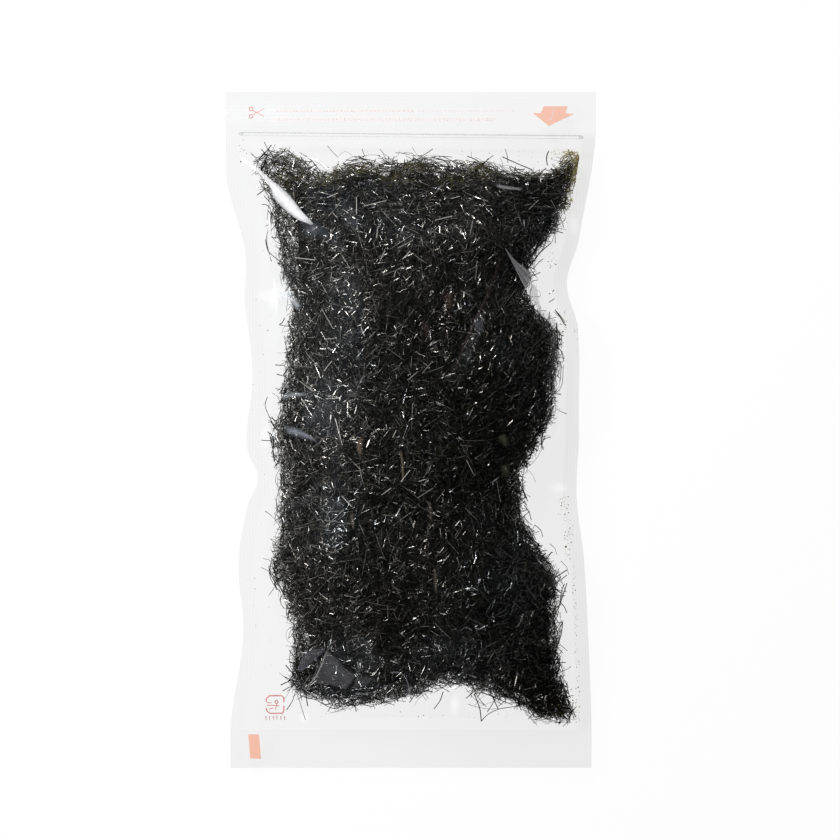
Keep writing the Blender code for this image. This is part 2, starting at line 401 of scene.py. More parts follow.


# Folds, whose milky colours paint the film's highlights and reflections, in millimetres from the pouch's
# middle.
FOLD_HIGHLIGHTS: tuple[Fold, ...] = (
    Fold(
        (
            (-64.9, 101.9), (-58.4, 97.6), (-52.9, 91.7), (-51.6, 86.8), (-47.1, 82.3), (-42.5, 78.5),
            (-36.9, 76.3),
        ),
        (
            (-64.9, 102.7), (-58.4, 99.9), (-53.8, 95.2), (-48.3, 90.8), (-44.6, 87.1), (-41.0, 82.1),
            (-36.2, 76.8),
        ),
        (0.97, 0.97, 0.99), 0.93, 0.60, 0.10, 0.50,
    ),
    Fold(
        ((-34.5, 100.6), (-32.6, 98.2), (-30.3, 95.8)),
        ((-33.4, 100.6), (-31.1, 98.6), (-29.5, 96.2)),
        (0.93, 0.94, 0.96), 0.60, 0.50, 0.20,
    ),
    Fold(
        ((31.8, 90.8), (35.5, 89.6), (41.5, 89.7)),
        ((31.8, 91.9), (36.3, 91.2), (41.9, 90.5)),
        (0.80, 0.80, 0.84), 0.28, 0.80, 0.20,
    ),
    Fold(
        ((35.2, 67.3), (38.3, 61.6), (41.4, 55.7), (44.8, 49.7), (48.9, 42.5)),
        ((35.2, 67.7), (38.7, 63.4), (43.3, 60.6), (46.0, 56.9), (47.5, 49.8)),
        (0.84, 0.84, 0.87), 0.50, 0.15, 0.65,
    ),
    Fold(
        ((44.1, 51.2), (45.9, 47.8), (48.9, 42.5)),
        ((47.2, 55.1), (47.9, 49.0), (49.7, 42.9)),
        (0.92, 0.92, 0.94), 0.62, 0.50, 0.35,
    ),
    Fold(
        ((48.9, 42.5), (50.8, 41.4), (53.5, 38.8)),
        ((49.7, 44.8), (52.5, 43.8), (55.6, 39.3)),
        (0.85, 0.85, 0.87), 0.45, 0.60, 0.30,
    ),
    Fold(
        ((-49.8, 50.6), (-46.7, 47.9), (-41.7, 44.3)),
        ((-47.8, 53.9), (-44.0, 51.9), (-40.5, 45.8)),
        (0.86, 0.92, 0.97), 0.40, 1.00, 0.20,
    ),
    Fold(
        ((-49.3, 13.2), (-44.7, 15.0), (-38.1, 13.5)),
        ((-48.9, 10.9), (-43.5, 12.0), (-38.1, 12.8)),
        (0.80, 0.86, 0.92), 0.26, 1.00, 0.30,
    ),
    Fold(
        ((-47.7, 2.3), (-41.5, 1.2), (-34.6, -3.7)),
        ((-47.7, -1.5), (-41.5, -3.0), (-34.6, -4.4)),
        (0.75, 0.83, 0.95), 0.26, 1.00, 0.30,
    ),
    Fold(
        ((-42.6, -89.8), (-41.1, -85.5), (-37.2, -81.9), (-31.8, -81.3)),
        ((-41.5, -90.6), (-38.0, -88.1), (-34.6, -84.9), (-32.2, -82.1)),
        (0.62, 0.62, 0.74), 0.115, 0.15, 0.25,
    ),
    Fold(
        ((-31.5, -82.8), (-34.7, -91.2), (-37.7, -95.1), (-30.5, -95.4), (-24.5, -97.3)),
        ((-30.7, -82.8), (-27.7, -85.1), (-24.0, -89.8), (-20.3, -91.6), (-22.2, -94.1)),
        (0.64, 0.64, 0.68), 0.115, 0.08, 0.25,
    ),
    Fold(
        ((-21.8, -96.4), (-19.2, -96.8), (-16.5, -95.5)),
        ((-20.7, -92.9), (-17.6, -91.9), (-14.2, -92.7)),
        (0.62, 0.62, 0.66), 0.08, 0.30, 0.30,
    ),
    Fold(
        ((-31.7, -82.5), (-33.9, -88.1), (-36.2, -93.1), (-40.5, -97.2)),
        ((-31.1, -82.4), (-33.1, -88.0), (-35.6, -93.5), (-40.1, -97.5)),
        (0.90, 0.90, 0.90), 0.30, 0.50, 0.20,
    ),
    Fold(
        ((-7.5, -90.2), (-4.5, -89.8), (-1.8, -91.8), (-0.5, -95.4), (0.2, -100.7)),
        ((-7.5, -90.7), (-4.5, -90.4), (-2.2, -92.2), (-1.1, -95.4), (-0.6, -100.7)),
        (0.85, 0.85, 0.88), 0.25, 0.50, 0.20,
    ),
    Fold(
        ((-4.1, -94.6), (-3.0, -97.9), (-1.1, -101.5)),
        ((0.4, -93.8), (1.5, -97.9), (1.9, -101.9)),
        (0.70, 0.72, 0.78), 0.10, 1.00, 0.40,
    ),
    Fold(
        ((-20.0, -3.6), (-20.7, -6.6), (-18.9, -9.6)),
        ((-17.4, -1.4), (-17.4, -5.5), (-18.1, -9.6)),
        (0.62, 0.48, 0.33), 0.20, 1.00, 0.30,
    ),
    Fold(
        ((-4.4, -7.3), (-3.6, -12.9), (-3.3, -19.2)),
        ((-3.3, -6.6), (-2.2, -12.9), (-2.5, -19.2)),
        (0.60, 0.49, 0.36), 0.22, 1.00, 0.30,
    ),
    Fold(
        ((-22.6, -30.4), (-22.6, -33.3), (-21.4, -37.0)),
        ((-21.1, -30.0), (-20.7, -33.3), (-20.7, -37.0)),
        (0.60, 0.50, 0.38), 0.18, 1.00, 0.30,
    ),
    Fold(
        ((6.4, -25.9), (6.4, -29.6), (7.1, -34.1)),
        ((7.5, -25.9), (7.9, -29.6), (7.9, -34.1)),
        (0.58, 0.48, 0.38), 0.15, 1.00, 0.30,
    ),
    Fold(
        ((8.2, -50.4), (8.2, -55.5), (9.0, -60.7)),
        ((9.3, -50.4), (10.1, -55.5), (9.7, -60.7)),
        (0.58, 0.48, 0.38), 0.13, 1.00, 0.30,
    ),
    Fold(
        ((33.3, 67.2), (29.6, 54.2), (22.0, 39.0), (13.0, 15.6)),
        ((34.4, 66.5), (31.1, 53.5), (23.4, 38.3), (13.4, 14.9)),
        (0.45, 0.30, 0.27), 0.05, 1.00, 0.30,
    ),
    Fold(
        ((10.8, 50.1), (11.9, 47.2), (14.2, 43.8)),
        ((15.3, 52.0), (16.4, 48.3), (15.6, 43.8)),
        (0.45, 0.27, 0.22), 0.07, 1.00, 0.30,
    ),
    Fold(
        ((2.7, 40.1), (3.4, 37.1), (5.3, 33.4)),
        ((7.1, 40.8), (7.9, 37.1), (7.1, 33.4)),
        (0.42, 0.28, 0.24), 0.06, 1.00, 0.30,
    ),
    Fold(
        ((31.7, -2.2), (32.5, -4.4), (34.8, -6.3)),
        ((35.1, -0.7), (36.6, -2.9), (36.3, -6.3)),
        (0.50, 0.52, 0.34), 0.16, 1.00, 0.30,
    ),
    Fold(
        ((32.9, -13.0), (33.3, -15.7), (35.3, -18.0)),
        ((36.4, -11.9), (37.5, -15.0), (36.8, -18.0)),
        (0.50, 0.52, 0.34), 0.12, 1.00, 0.30,
    ),
    Fold(
        ((48.2, -108.6), (50.9, -109.8), (53.5, -109.4)),
        ((48.6, -110.2), (51.3, -111.8), (53.6, -110.6)),
        (1.00, 1.00, 1.00), 0.60, 0.70, 0.20,
    ),
    Fold(
        ((-64.9, 103.9), (-61.8, 102.0), (-58.3, 98.8)),
        ((-64.9, 103.2), (-62.2, 100.8), (-59.1, 98.1)),
        (1.00, 1.00, 1.00), 0.80, 0.40, 0.00,
    ),
)


@dataclass(frozen=True)
class Haze:
    """A soft milky patch on the film over the shreds, which paints its hazy reflections and glow, in
    millimetres.
    """

    x: float
    y: float
    across: float
    along: float
    turn: float
    colour: tuple[float, float, float]
    cover: float


# Painted reflections and highlights, bluish and grey over the shreds, and a painted golden glow along the
# right edge near the head.
PAINTED_HAZES: tuple[Haze, ...] = (
    Haze(-37.1, 75.9, 3.4, 2.3, -40, (0.40, 0.48, 0.58), 0.13),
    Haze(-34.0, 88.0, 7.5, 8.0, 30, (0.12, 0.26, 0.54), 0.017),
    Haze(-18.0, 90.5, 12.0, 3.5, 0, (0.22, 0.34, 0.50), 0.010),
    Haze(8.0, 92.0, 40.0, 3.5, 0, (0.38, 0.38, 0.40), 0.008),
    Haze(-43.5, 46.0, 5.0, 12.0, 0, (0.38, 0.43, 0.50), 0.019),
    Haze(-46.0, 52.0, 3.5, 7.0, 0, (0.50, 0.52, 0.55), 0.036),
    Haze(-48.8, 52.0, 2.4, 4.2, -20, (0.90, 0.93, 0.97), 0.30),
    Haze(-34.0, 44.0, 7.0, 9.0, 0, (0.36, 0.42, 0.50), 0.009),
    Haze(-28.1, -9.2, 4.0, 3.2, 0, (0.38, 0.38, 0.46), 0.022),
    Haze(-34.5, -19.3, 12.0, 2.6, 52, (0.38, 0.40, 0.47), 0.030),
    Haze(-44.5, -28.0, 3.5, 4.5, 0, (0.42, 0.43, 0.45), 0.030),
    Haze(60.6, 103.6, 4.0, 2.0, 0, (1.00, 0.92, 0.55), 0.20),
    Haze(62.2, 96.5, 1.8, 7.0, -10, (1.00, 0.94, 0.60), 0.16),
    Haze(59.6, 85.0, 1.6, 6.0, -20, (1.00, 0.95, 0.66), 0.12),
)

# Pale shreds that lie on top, right under the film, whose paleness paints glints: both ends, in millimetres.
PAINTED_GLINT_STRANDS: Table = (
    (-43.3, 64.5, -35.6, 63.3), (-41.0, 86.9, -35.7, 86.7), (-31.2, 86.6, -27.1, 88.3),
    (-20.2, 86.7, -20.1, 80.1), (-29.1, 80.8, -27.2, 78.8), (-17.4, 83.2, -9.2, 85.4),
    (9.0, 77.9, 15.3, 79.5), (15.4, 76.6, 20.1, 72.6), (-7.7, 66.9, 0.4, 72.2),
    (-4.7, 67.3, 0.8, 70.3), (-11.4, 62.5, -9.5, 66.5), (-3.1, 63.2, -0.3, 66.2),
    (-12.7, 71.0, -12.1, 75.5), (21.9, 72.2, 22.9, 77.6), (-6.2, 56.5, -5.6, 58.8),
    (-29.8, 55.2, -29.4, 58.5), (-29.0, 55.3, -26.2, 56.0), (-33.4, 54.5, -31.3, 51.1),
    (-33.2, 45.2, -29.0, 37.9), (-31.9, 33.9, -27.4, 34.2), (14.9, 86.3, 18.3, 87.2),
    (-18.4, 38.1, -17.1, 34.8), (18.6, 65.7, 23.4, 66.3), (-33.2, 32.2, -31.3, 28.7),
    (-32.3, 22.0, -29.4, 25.7), (-1.2, 18.5, 2.7, 21.7), (4.3, 21.1, 8.0, 25.5),
    (-31.5, 11.7, -27.2, 11.9), (-28.1, 4.5, -25.3, -5.5), (-41.1, -11.5, -39.6, -12.8),
    (-6.7, -2.7, -5.4, 0.1), (-3.6, -18.9, -0.3, -14.7), (20.6, -11.0, 23.2, -16.2),
    (2.5, -25.0, 8.2, -21.3), (9.3, -26.3, 12.6, -22.1), (-25.6, -24.3, -21.9, -28.2),
    (-10.8, -23.9, -7.3, -21.3), (18.5, -5.6, 22.4, -5.9), (-41.4, 18.3, -36.8, 14.6),
    (-45.1, -3.7, -44.0, -7.0),
)

# Single long shreds that lie free at the packing's edge, in millimetres.
STRANDS: tuple[Path, ...] = (
    ((-31.5, 107.3), (-29.5, 104.7), (-27.9, 103.1)),
    ((-27.9, 102.7), (-26.1, 104.7), (-24.6, 105.6), (-22.3, 103.5), (-20.4, 102.2)),
    ((-59.1, 101.1), (-56.4, 103.0), (-54.2, 105.7), (-52.7, 107.7)),
    ((-56.5, 106.1), (-54.1, 103.0), (-51.4, 101.0)),
    ((-55.4, 108.9), (-54.2, 106.1), (-51.8, 102.9)),
    ((-56.4, 104.2), (-51.5, 102.9), (-45.8, 104.9)),
    ((-52.7, 106.9), (-50.0, 104.9), (-47.6, 101.3)),
    ((-57.9, 88.5), (-55.5, 90.3), (-53.2, 92.1)),
    ((-56.3, 85.0), (-54.0, 85.3), (-52.4, 82.2), (-52.4, 77.7), (-54.8, 76.7)),
    ((-52.4, 82.2), (-53.2, 77.0), (-54.8, 71.8), (-53.3, 66.1), (-52.5, 63.5)),
    ((-54.8, 71.8), (-54.0, 67.3), (-52.1, 65.7), (-48.6, 62.9)),
    ((-48.9, 86.6), (-49.7, 81.0), (-48.1, 73.4), (-45.4, 66.9)),
    ((-50.9, 84.8), (-50.9, 79.1), (-49.3, 71.5), (-47.8, 64.8)),
    ((-47.5, 42.2), (-48.3, 40.0), (-50.2, 39.7), (-45.5, 38.8)),
    ((-54.0, 12.5), (-55.2, 9.5), (-54.0, 6.4), (-51.2, 1.1)),
    ((-52.8, 3.4), (-51.2, 0.8), (-48.8, -1.1)),
    ((-52.5, -9.8), (-50.1, -11.7), (-47.3, -13.1)),
    ((-44.6, -94.6), (-42.1, -102.3), (-39.9, -109.8)),
    ((-45.0, -96.9), (-46.2, -99.2), (-48.2, -102.4)),
    ((-43.5, -98.4), (-44.7, -102.3), (-47.0, -105.8)),
    ((-49.6, -91.6), (-46.9, -93.8), (-44.6, -95.7)),
    ((-49.2, -96.2), (-45.8, -94.6), (-43.5, -93.0)),
    ((-39.7, -98.3), (-39.4, -101.1), (-39.0, -104.2)),
    ((-48.5, -98.5), (-45.8, -96.9), (-43.5, -96.1)),
    ((-47.2, -88.5), (-45.0, -91.1), (-43.1, -93.7)),
    ((-30.7, -106.9), (-26.9, -106.1), (-23.8, -104.5)),
    ((-25.0, -103.2), (-26.9, -104.5), (-28.8, -106.1)),
    ((-35.2, -102.2), (-32.6, -103.7), (-29.5, -103.3)),
    ((12.1, -98.3), (11.0, -101.9), (8.7, -105.2)),
    ((21.6, -103.6), (25.4, -104.8), (29.9, -105.6), (33.3, -105.2)),
    ((26.6, -110.2), (28.8, -107.3), (33.3, -105.2), (41.3, -104.1)),
    ((26.6, -110.2), (26.1, -105.2), (23.8, -99.1)),
    ((20.8, -101.1), (23.7, -98.3), (26.0, -97.0)),
    ((29.8, -97.5), (31.4, -102.0), (32.9, -105.2)),
    ((33.2, -97.5), (31.0, -103.2), (28.8, -106.5)),
    ((34.7, -97.1), (32.5, -102.0), (26.1, -104.4)),
    ((20.3, -97.0), (24.2, -101.9), (28.0, -104.0)),
    ((23.0, -96.2), (25.3, -100.7), (28.4, -104.4)),
    ((38.1, -98.0), (35.9, -102.0), (32.9, -104.4)),
    ((58.4, -98.9), (60.4, -104.1), (62.3, -108.7)),
    ((56.6, -111.0), (52.0, -109.4), (47.8, -107.4)),
    ((41.2, -102.1), (47.0, -105.3), (52.0, -108.6)),
    ((42.8, -103.7), (47.4, -106.6), (53.6, -109.8)),
    ((12.1, 103.1), (18.1, 100.3), (22.2, 97.9)),
    ((21.2, 103.1), (24.2, 101.9), (27.1, 99.9)),
    ((27.1, 99.9), (29.1, 101.9), (31.0, 103.5)),
    ((33.6, 102.7), (34.3, 101.1), (34.7, 98.7)),
    ((34.4, 103.1), (40.4, 100.3), (46.0, 98.0)),
    ((51.9, 105.3), (51.0, 102.8), (51.4, 99.7)),
    ((46.7, 64.8), (49.7, 67.8), (52.8, 70.5)),
    ((46.4, 61.1), (48.3, 63.4), (49.8, 64.5)),
    ((46.0, 58.1), (47.6, 58.9), (48.7, 59.3)),
    ((51.8, 48.0), (52.9, 48.7), (54.0, 49.5)),
    ((54.4, 45.0), (56.3, 42.3), (57.8, 39.7)),
    ((53.7, 44.6), (54.8, 43.5), (55.6, 42.7)),
    ((35.6, 106.1), (36.3, 103.5), (36.6, 100.7)),
    ((-11.7, 106.0), (-10.2, 103.9), (-7.9, 102.7)),
    ((0.4, 106.9), (1.9, 104.3), (4.9, 102.3)),
    ((-42.0, 104.8), (-38.9, 102.8), (-35.1, 101.9)),
    ((-45.0, 103.2), (-41.9, 101.6), (-37.3, 101.1)),
    ((54.7, 32.1), (56.7, 29.5), (57.5, 26.5)),
    ((54.3, 8.3), (56.7, 6.8), (58.6, 6.1)),
    ((44.1, -15.0), (46.0, -17.0), (46.8, -19.6)),
    ((42.6, -28.2), (44.5, -30.9), (45.3, -33.9)),
    ((56.4, -49.2), (58.7, -51.5), (59.4, -54.5)),
    ((55.5, -64.1), (57.9, -66.6), (58.7, -68.9)),
    ((54.6, -79.1), (57.0, -81.5), (59.0, -83.2)),
    ((54.0, -55.8), (56.0, -54.5), (58.8, -52.7)),
    ((53.6, -58.0), (56.0, -56.7), (58.8, -54.6)),
    ((54.4, -69.4), (56.4, -65.0), (58.8, -57.6)),
    ((55.5, -80.6), (56.7, -76.6), (57.2, -72.2)),
    ((55.1, -78.7), (56.0, -74.3), (56.4, -68.4)),
    ((56.1, -92.5), (58.5, -99.6), (61.7, -109.3)),
    ((55.7, -92.9), (58.1, -99.2), (60.5, -106.2)),
    ((46.6, -35.6), (48.9, -37.6), (49.6, -40.2)),
    ((52.3, -42.8), (54.2, -44.4), (55.0, -47.0)),
    ((47.3, 52.6), (48.5, 52.2), (48.9, 50.0)),
    ((51.9, 51.2), (53.0, 51.9), (53.8, 52.7)),
    ((54.2, 45.2), (56.1, 43.3), (58.0, 40.3)),
)


class Graph:
    """A material's node tree with short ways to add to it."""

    def __init__(self, name: str) -> None:
        """Start a material with only its Principled shader.

        Args:
            name: Name of the new material.
        """
        self.material = bpy.data.materials.new(name)
        self.material.use_nodes = True
        self.tree = self.material.node_tree
        self.shader = self.tree.nodes["Principled BSDF"]

    def feed(self, socket: bpy.types.NodeSocket, source: Source) -> None:
        """Link a socket to another one, or set it to a plain value.

        Args:
            socket: Socket to feed.
            source: Socket to link it to, or a value.
        """
        if isinstance(source, bpy.types.NodeSocket):
            self.tree.links.new(source, socket)
        else:
            socket.default_value = source

    def add(
        self, kind: str, sources: dict[int | str, Source] | None = None, **settings: object
    ) -> bpy.types.Node:
        """Add a node, set its properties and feed its sockets.

        Args:
            kind: The node's type.
            sources: What feeds each of its sockets.
            **settings: Its properties.

        Returns:
            The new node.
        """
        node = self.tree.nodes.new(kind)
        for key, value in settings.items():
            setattr(node, key, value)
        for key, source in (sources or {}).items():
            self.feed(node.inputs[key], source)
        return node

    def math(self, operation: str, first: Source, second: Source = 0.0) -> bpy.types.NodeSocket:
        """Combine two values."""
        return self.add("ShaderNodeMath", {0: first, 1: second}, operation=operation).outputs[0]

    def span(self, value: Source, source: Range, target: Range) -> bpy.types.NodeSocket:
        """Carry a value from one range to another, clamped."""
        ends = dict(zip(("From Min", "From Max", "To Min", "To Max"), (*source, *target)))
        return self.add("ShaderNodeMapRange", {"Value": value, **ends}).outputs["Result"]

    def blend(self, factor: Source, first: Source, second: Source) -> bpy.types.NodeSocket:
        """Mix two colours."""
        sources = {"Factor": factor, "A": first, "B": second}
        return self.add("ShaderNodeMix", sources, data_type="RGBA").outputs["Result"]

    def place(self) -> bpy.types.NodeSocket:
        """Give the surface's own coordinates, in metres."""
        return self.add("ShaderNodeTexCoord").outputs["Object"]

    def noise(self, scale: float, detail: float = 2.0) -> bpy.types.NodeSocket:
        """Give soft noise with a number of cells per metre, from 0 to 1."""
        sources = {"Scale": scale, "Detail": detail, "Vector": self.place()}
        return self.add("ShaderNodeTexNoise", sources).outputs["Fac"]

    def sway(self, scale: float, target: Range, detail: float = 2.0) -> bpy.types.NodeSocket:
        """Give a value that soft noise sways within a range."""
        return self.span(self.noise(scale, detail), NOISE_SPREAD, target)

    def channels(self, name: str) -> tuple[bpy.types.NodeSocket, ...]:
        """Read a colour attribute of the mesh.

        Args:
            name: The attribute's name.

        Returns:
            Its red, green, blue and alpha.
        """
        node = self.add("ShaderNodeAttribute", attribute_name=name)
        split = self.add("ShaderNodeSeparateColor", {"Color": node.outputs["Color"]})
        return (*split.outputs, node.outputs["Alpha"])

    def bump(self, height: Source, strength: float, distance: float) -> None:
        """Raise the surface by a height."""
        node = self.add("ShaderNodeBump", {"Strength": strength, "Distance": distance, "Height": height})
        self.feed(self.shader.inputs["Normal"], node.outputs["Normal"])

    def put(self, **values: Source) -> None:
        """Feed the shader's sockets, named with _ for a space."""
        for key, value in values.items():
            self.feed(self.shader.inputs[key.replace("_", " ")], value)


def rib_group() -> bpy.types.NodeTree:
    """Make the shared effect of fine pressed lines, which gives a value from 0 to 1.

    Returns:
        The group, built once.
    """
    name = "pressed_lines"
    if name in bpy.data.node_groups:
        return bpy.data.node_groups[name]
    group = bpy.data.node_groups.new(name, "ShaderNodeTree")
    for label in ("Distance", "Pitch"):
        group.interface.new_socket(label, in_out="INPUT", socket_type="NodeSocketFloat")
    group.interface.new_socket("Line", in_out="OUTPUT", socket_type="NodeSocketFloat")
    entry = group.nodes.new("NodeGroupInput")
    leave = group.nodes.new("NodeGroupOutput")
    last = entry.outputs["Distance"]
    for operation, *values in (("DIVIDE",), ("MULTIPLY", 2 * math.pi), ("SINE",), ("MULTIPLY_ADD", 0.5, 0.5)):
        node = group.nodes.new("ShaderNodeMath")
        node.operation = operation
        group.links.new(last, node.inputs[0])
        if operation == "DIVIDE":
            group.links.new(entry.outputs["Pitch"], node.inputs[1])
        for socket, value in zip(node.inputs[1:], values):
            socket.default_value = value
        last = node.outputs[0]
    group.links.new(last, leave.inputs["Line"])
    return group


@dataclass(frozen=True)
class FilmFinish:
    """Clear glossy film: see-through face on, mirror-like at a glance.

    The piece's attribute "zone" holds side seal, end seal and extra cover, which carries
    painted shade and painted highlights, and "haze" holds the colour and cover of milky
    patches that paint reflections and glow.
    """

    name: str = "clear_film"
    face_on: tuple[float, float, float] = (0.034, 0.037, 0.044)
    glancing: tuple[float, float, float] = (0.93, 0.94, 0.97)
    cover: float = 0.052
    rim_cover: float = 0.80
    facing_power: float = 4.0
    roughness: float = 0.26
    side_pitch: float = 1.15 * MM
    end_pitch: float = 1.45 * MM
    end_share: float = 0.35
    press_cover: float = 0.010
    zone_cover: float = 1 / EXTRA_SCALE
    patch_scale: float = 260.0
    gloss_scale: float = 90.0
    bump_scale: float = 420.0
    bump_strength: float = 0.25
    bump_height: float = 0.2 * MM

    def build(self) -> bpy.types.Material:
        """Make the film's material.

        Returns:
            The material.
        """
        g = Graph(self.name)
        side, end, extra, _ = g.channels("zone")
        weight = g.add("ShaderNodeLayerWeight", {"Blend": 0.5})
        facing = g.math("POWER", weight.outputs["Facing"], self.facing_power)
        cover = g.span(facing, (0, 1), (self.cover, self.rim_cover))
        split = g.add("ShaderNodeSeparateXYZ", {0: g.place()})
        lines = []
        for axis, pitch, mask in (("X", self.side_pitch, side), ("Y", self.end_pitch, end)):
            sources = {"Distance": split.outputs[axis], "Pitch": pitch}
            ribs = g.add("ShaderNodeGroup", sources, node_tree=rib_group())
            lines.append(g.math("MULTIPLY", ribs.outputs["Line"], mask))
        pressed = g.math("ADD", lines[0], g.math("MULTIPLY", lines[1], self.end_share))
        clear = g.math("ADD", cover, g.math("MULTIPLY", extra, self.zone_cover))
        clear = g.math("ADD", clear, g.math("MULTIPLY", pressed, self.press_cover))
        # Painted haze: milky colour that stands in for hazy reflections and glow.
        haze = g.add("ShaderNodeAttribute", attribute_name="haze")
        milky = g.math("MULTIPLY", haze.outputs["Alpha"], g.sway(self.patch_scale, (0.6, 1.25), 3.0))
        alpha = g.math("ADD", clear, milky)
        share = g.math("DIVIDE", milky, alpha)
        sheer = g.blend(facing, (*self.face_on, 1), (*self.glancing, 1))
        g.put(
            Base_Color=g.blend(share, sheer, haze.outputs["Color"]),
            Metallic=g.math("SUBTRACT", 1.0, share),
            Alpha=alpha,
            Roughness=g.sway(self.gloss_scale, (self.roughness, self.roughness * 1.6), 3.0),
        )
        g.bump(g.math("ADD", g.noise(self.bump_scale), pressed), self.bump_strength, self.bump_height)
        return g.material


@dataclass(frozen=True)
class FoldHighlightFinish:
    """Milky film where it is folded, with streaks, a colour that paints its highlights and reflections;
    attribute "sheen" holds colour and cover.
    """

    name: str = "painted_fold_highlights"
    roughness: float = 0.35
    level: float = 0.3
    patch_scale: float = 500.0
    bump_scale: float = 700.0
    bump_strength: float = 0.2
    bump_height: float = 0.2 * MM

    def build(self) -> bpy.types.Material:
        """Make the folds' material.

        Returns:
            The material.
        """
        g = Graph(self.name)
        sheen = g.add("ShaderNodeAttribute", attribute_name="sheen")
        g.put(
            Base_Color=sheen.outputs["Color"],
            Alpha=g.math("MULTIPLY", sheen.outputs["Alpha"], g.sway(self.patch_scale, (0.85, 1.1))),
            Roughness=self.roughness,
            Specular_IOR_Level=self.level,
        )
        g.bump(g.noise(self.bump_scale), self.bump_strength, self.bump_height)
        return g.material


@dataclass(frozen=True)
class NoriFinish:
    """Dried seaweed: near black, with a waxy sheen; olive and golden colours paint light shining through thin
    shreds.

    The piece's attribute "tint" holds the olive share, how warm the sheen is, the
    share of pale brown, which also carries painted light and painted glints, and in alpha how golden the
    olive is.
    """

    name: str = "nori"
    dark: tuple[float, float, float] = (0.0013, 0.0016, 0.0016)
    olive: tuple[float, float, float] = (0.24, 0.205, 0.05)
    gold: tuple[float, float, float] = (0.60, 0.44, 0.08)
    brown: tuple[float, float, float] = (0.59, 0.575, 0.545)
    cool: tuple[float, float, float] = (0.88, 0.94, 1.0)
    warm: tuple[float, float, float] = (1.0, 0.945, 0.85)
    roughness: float = 0.18
    index: float = 1.7
    level: float = 0.55
    sheer: float = 0.0
    gloss_scale: float = 300.0
    grain_scale: float = 1500.0
    grain_strength: float = 0.03
    grain_height: float = 0.3 * MM

    def build(self) -> bpy.types.Material:
        """Make the nori's material, which reads each shred's own tint.

        Returns:
            The material.
        """
        g = Graph(self.name)
        olive, warmth, pale, golden = g.channels("tint")
        grain = g.noise(self.grain_scale, 3.0)
        # Olive and gold paint light that shines through thin shreds.
        thin = g.blend(golden, (*self.olive, 1), (*self.gold, 1))
        g.put(
            Base_Color=g.blend(pale, g.blend(olive, (*self.dark, 1), thin), (*self.brown, 1)),
            Specular_Tint=g.blend(warmth, (*self.cool, 1), (*self.warm, 1)),
            Roughness=g.sway(self.gloss_scale, (self.roughness * 0.6, self.roughness * 1.4)),
            IOR=self.index,
            Specular_IOR_Level=self.level,
            Transmission_Weight=self.sheer,
        )
        g.bump(grain, self.grain_strength, self.grain_height)
        return g.material


@dataclass(frozen=True)
class InkFinish:
    """Flat print ink on film, a little see-through and uneven."""

    name: str
    colour: tuple[float, float, float]
    cover: float = 0.9
    # Painted glow: emission that brightens the ink though it is no lamp.
    glow: float = 0.0
    speck_scale: float = 900.0
    roughness: Range = (0.4, 0.5)

    def build(self) -> bpy.types.Material:
        """Make the ink's material, which light from the floor shines through a little, and which a painted
        glow can brighten.

        Returns:
            The material.
        """
        g = Graph(self.name)
        pale = tuple(min(1.0, c * 1.12 + 0.02) for c in self.colour)
        speck = g.noise(self.speck_scale)
        g.put(
            Base_Color=g.blend(speck, (*self.colour, 1), (*pale, 1)),
            Alpha=g.span(speck, NOISE_SPREAD, (self.cover, self.cover * 0.9)),
            Roughness=g.span(speck, (0, 1), self.roughness),
            Emission_Color=(*self.colour, 1),
            Emission_Strength=self.glow,
        )
        return g.material


def clear_selection() -> None:
    """Leave nothing selected, so that an operator acts on new pieces only."""
    if bpy.context.mode != "OBJECT":
        bpy.ops.object.mode_set(mode="OBJECT")
    bpy.ops.object.select_all(action="DESELECT")


def activate(*pieces: bpy.types.Object) -> None:
    """Select only the given pieces, the first one active.

    Args:
        *pieces: Pieces to select.
    """
    clear_selection()
    for piece in pieces:
        piece.select_set(True)
    bpy.context.view_layer.objects.active = pieces[0]


def sheet_grid(name: str, columns: int, rows: int) -> bpy.types.Object:
    """Add a flat grid of side 1 with the given number of points each way.

    Args:
        name: Name of the new object.
        columns: Points across.
        rows: Points along.

    Returns:
        The grid, ready to have its points placed.
    """
    clear_selection()
    bpy.ops.mesh.primitive_grid_add(x_subdivisions=columns - 1, y_subdivisions=rows - 1, size=1)
    grid = bpy.context.active_object
    grid.name = name
    grid.data.name = name
    return grid


def read_points(piece: bpy.types.Object) -> np.ndarray:
    """Give a mesh's points as rows of x, y and z.

    Args:
        piece: Piece to read.

    Returns:
        The points, one in each row.
    """
    points = np.empty(len(piece.data.vertices) * 3, np.float32)
    piece.data.vertices.foreach_get("co", points)
    return points.reshape(-1, 3).astype(float)


def place_points(piece: bpy.types.Object, points: np.ndarray) -> None:
    """Move all of a mesh's points to the given places."""
    piece.data.vertices.foreach_set("co", np.ascontiguousarray(points, np.float32).ravel())
    piece.data.update()


def paint(piece: bpy.types.Object, name: str, values: np.ndarray) -> None:
    """Store a colour with alpha at each point of a mesh."""
    layer = piece.data.color_attributes.new(name, "FLOAT_COLOR", "POINT")
    layer.data.foreach_set("color", np.ascontiguousarray(values, np.float32).ravel())


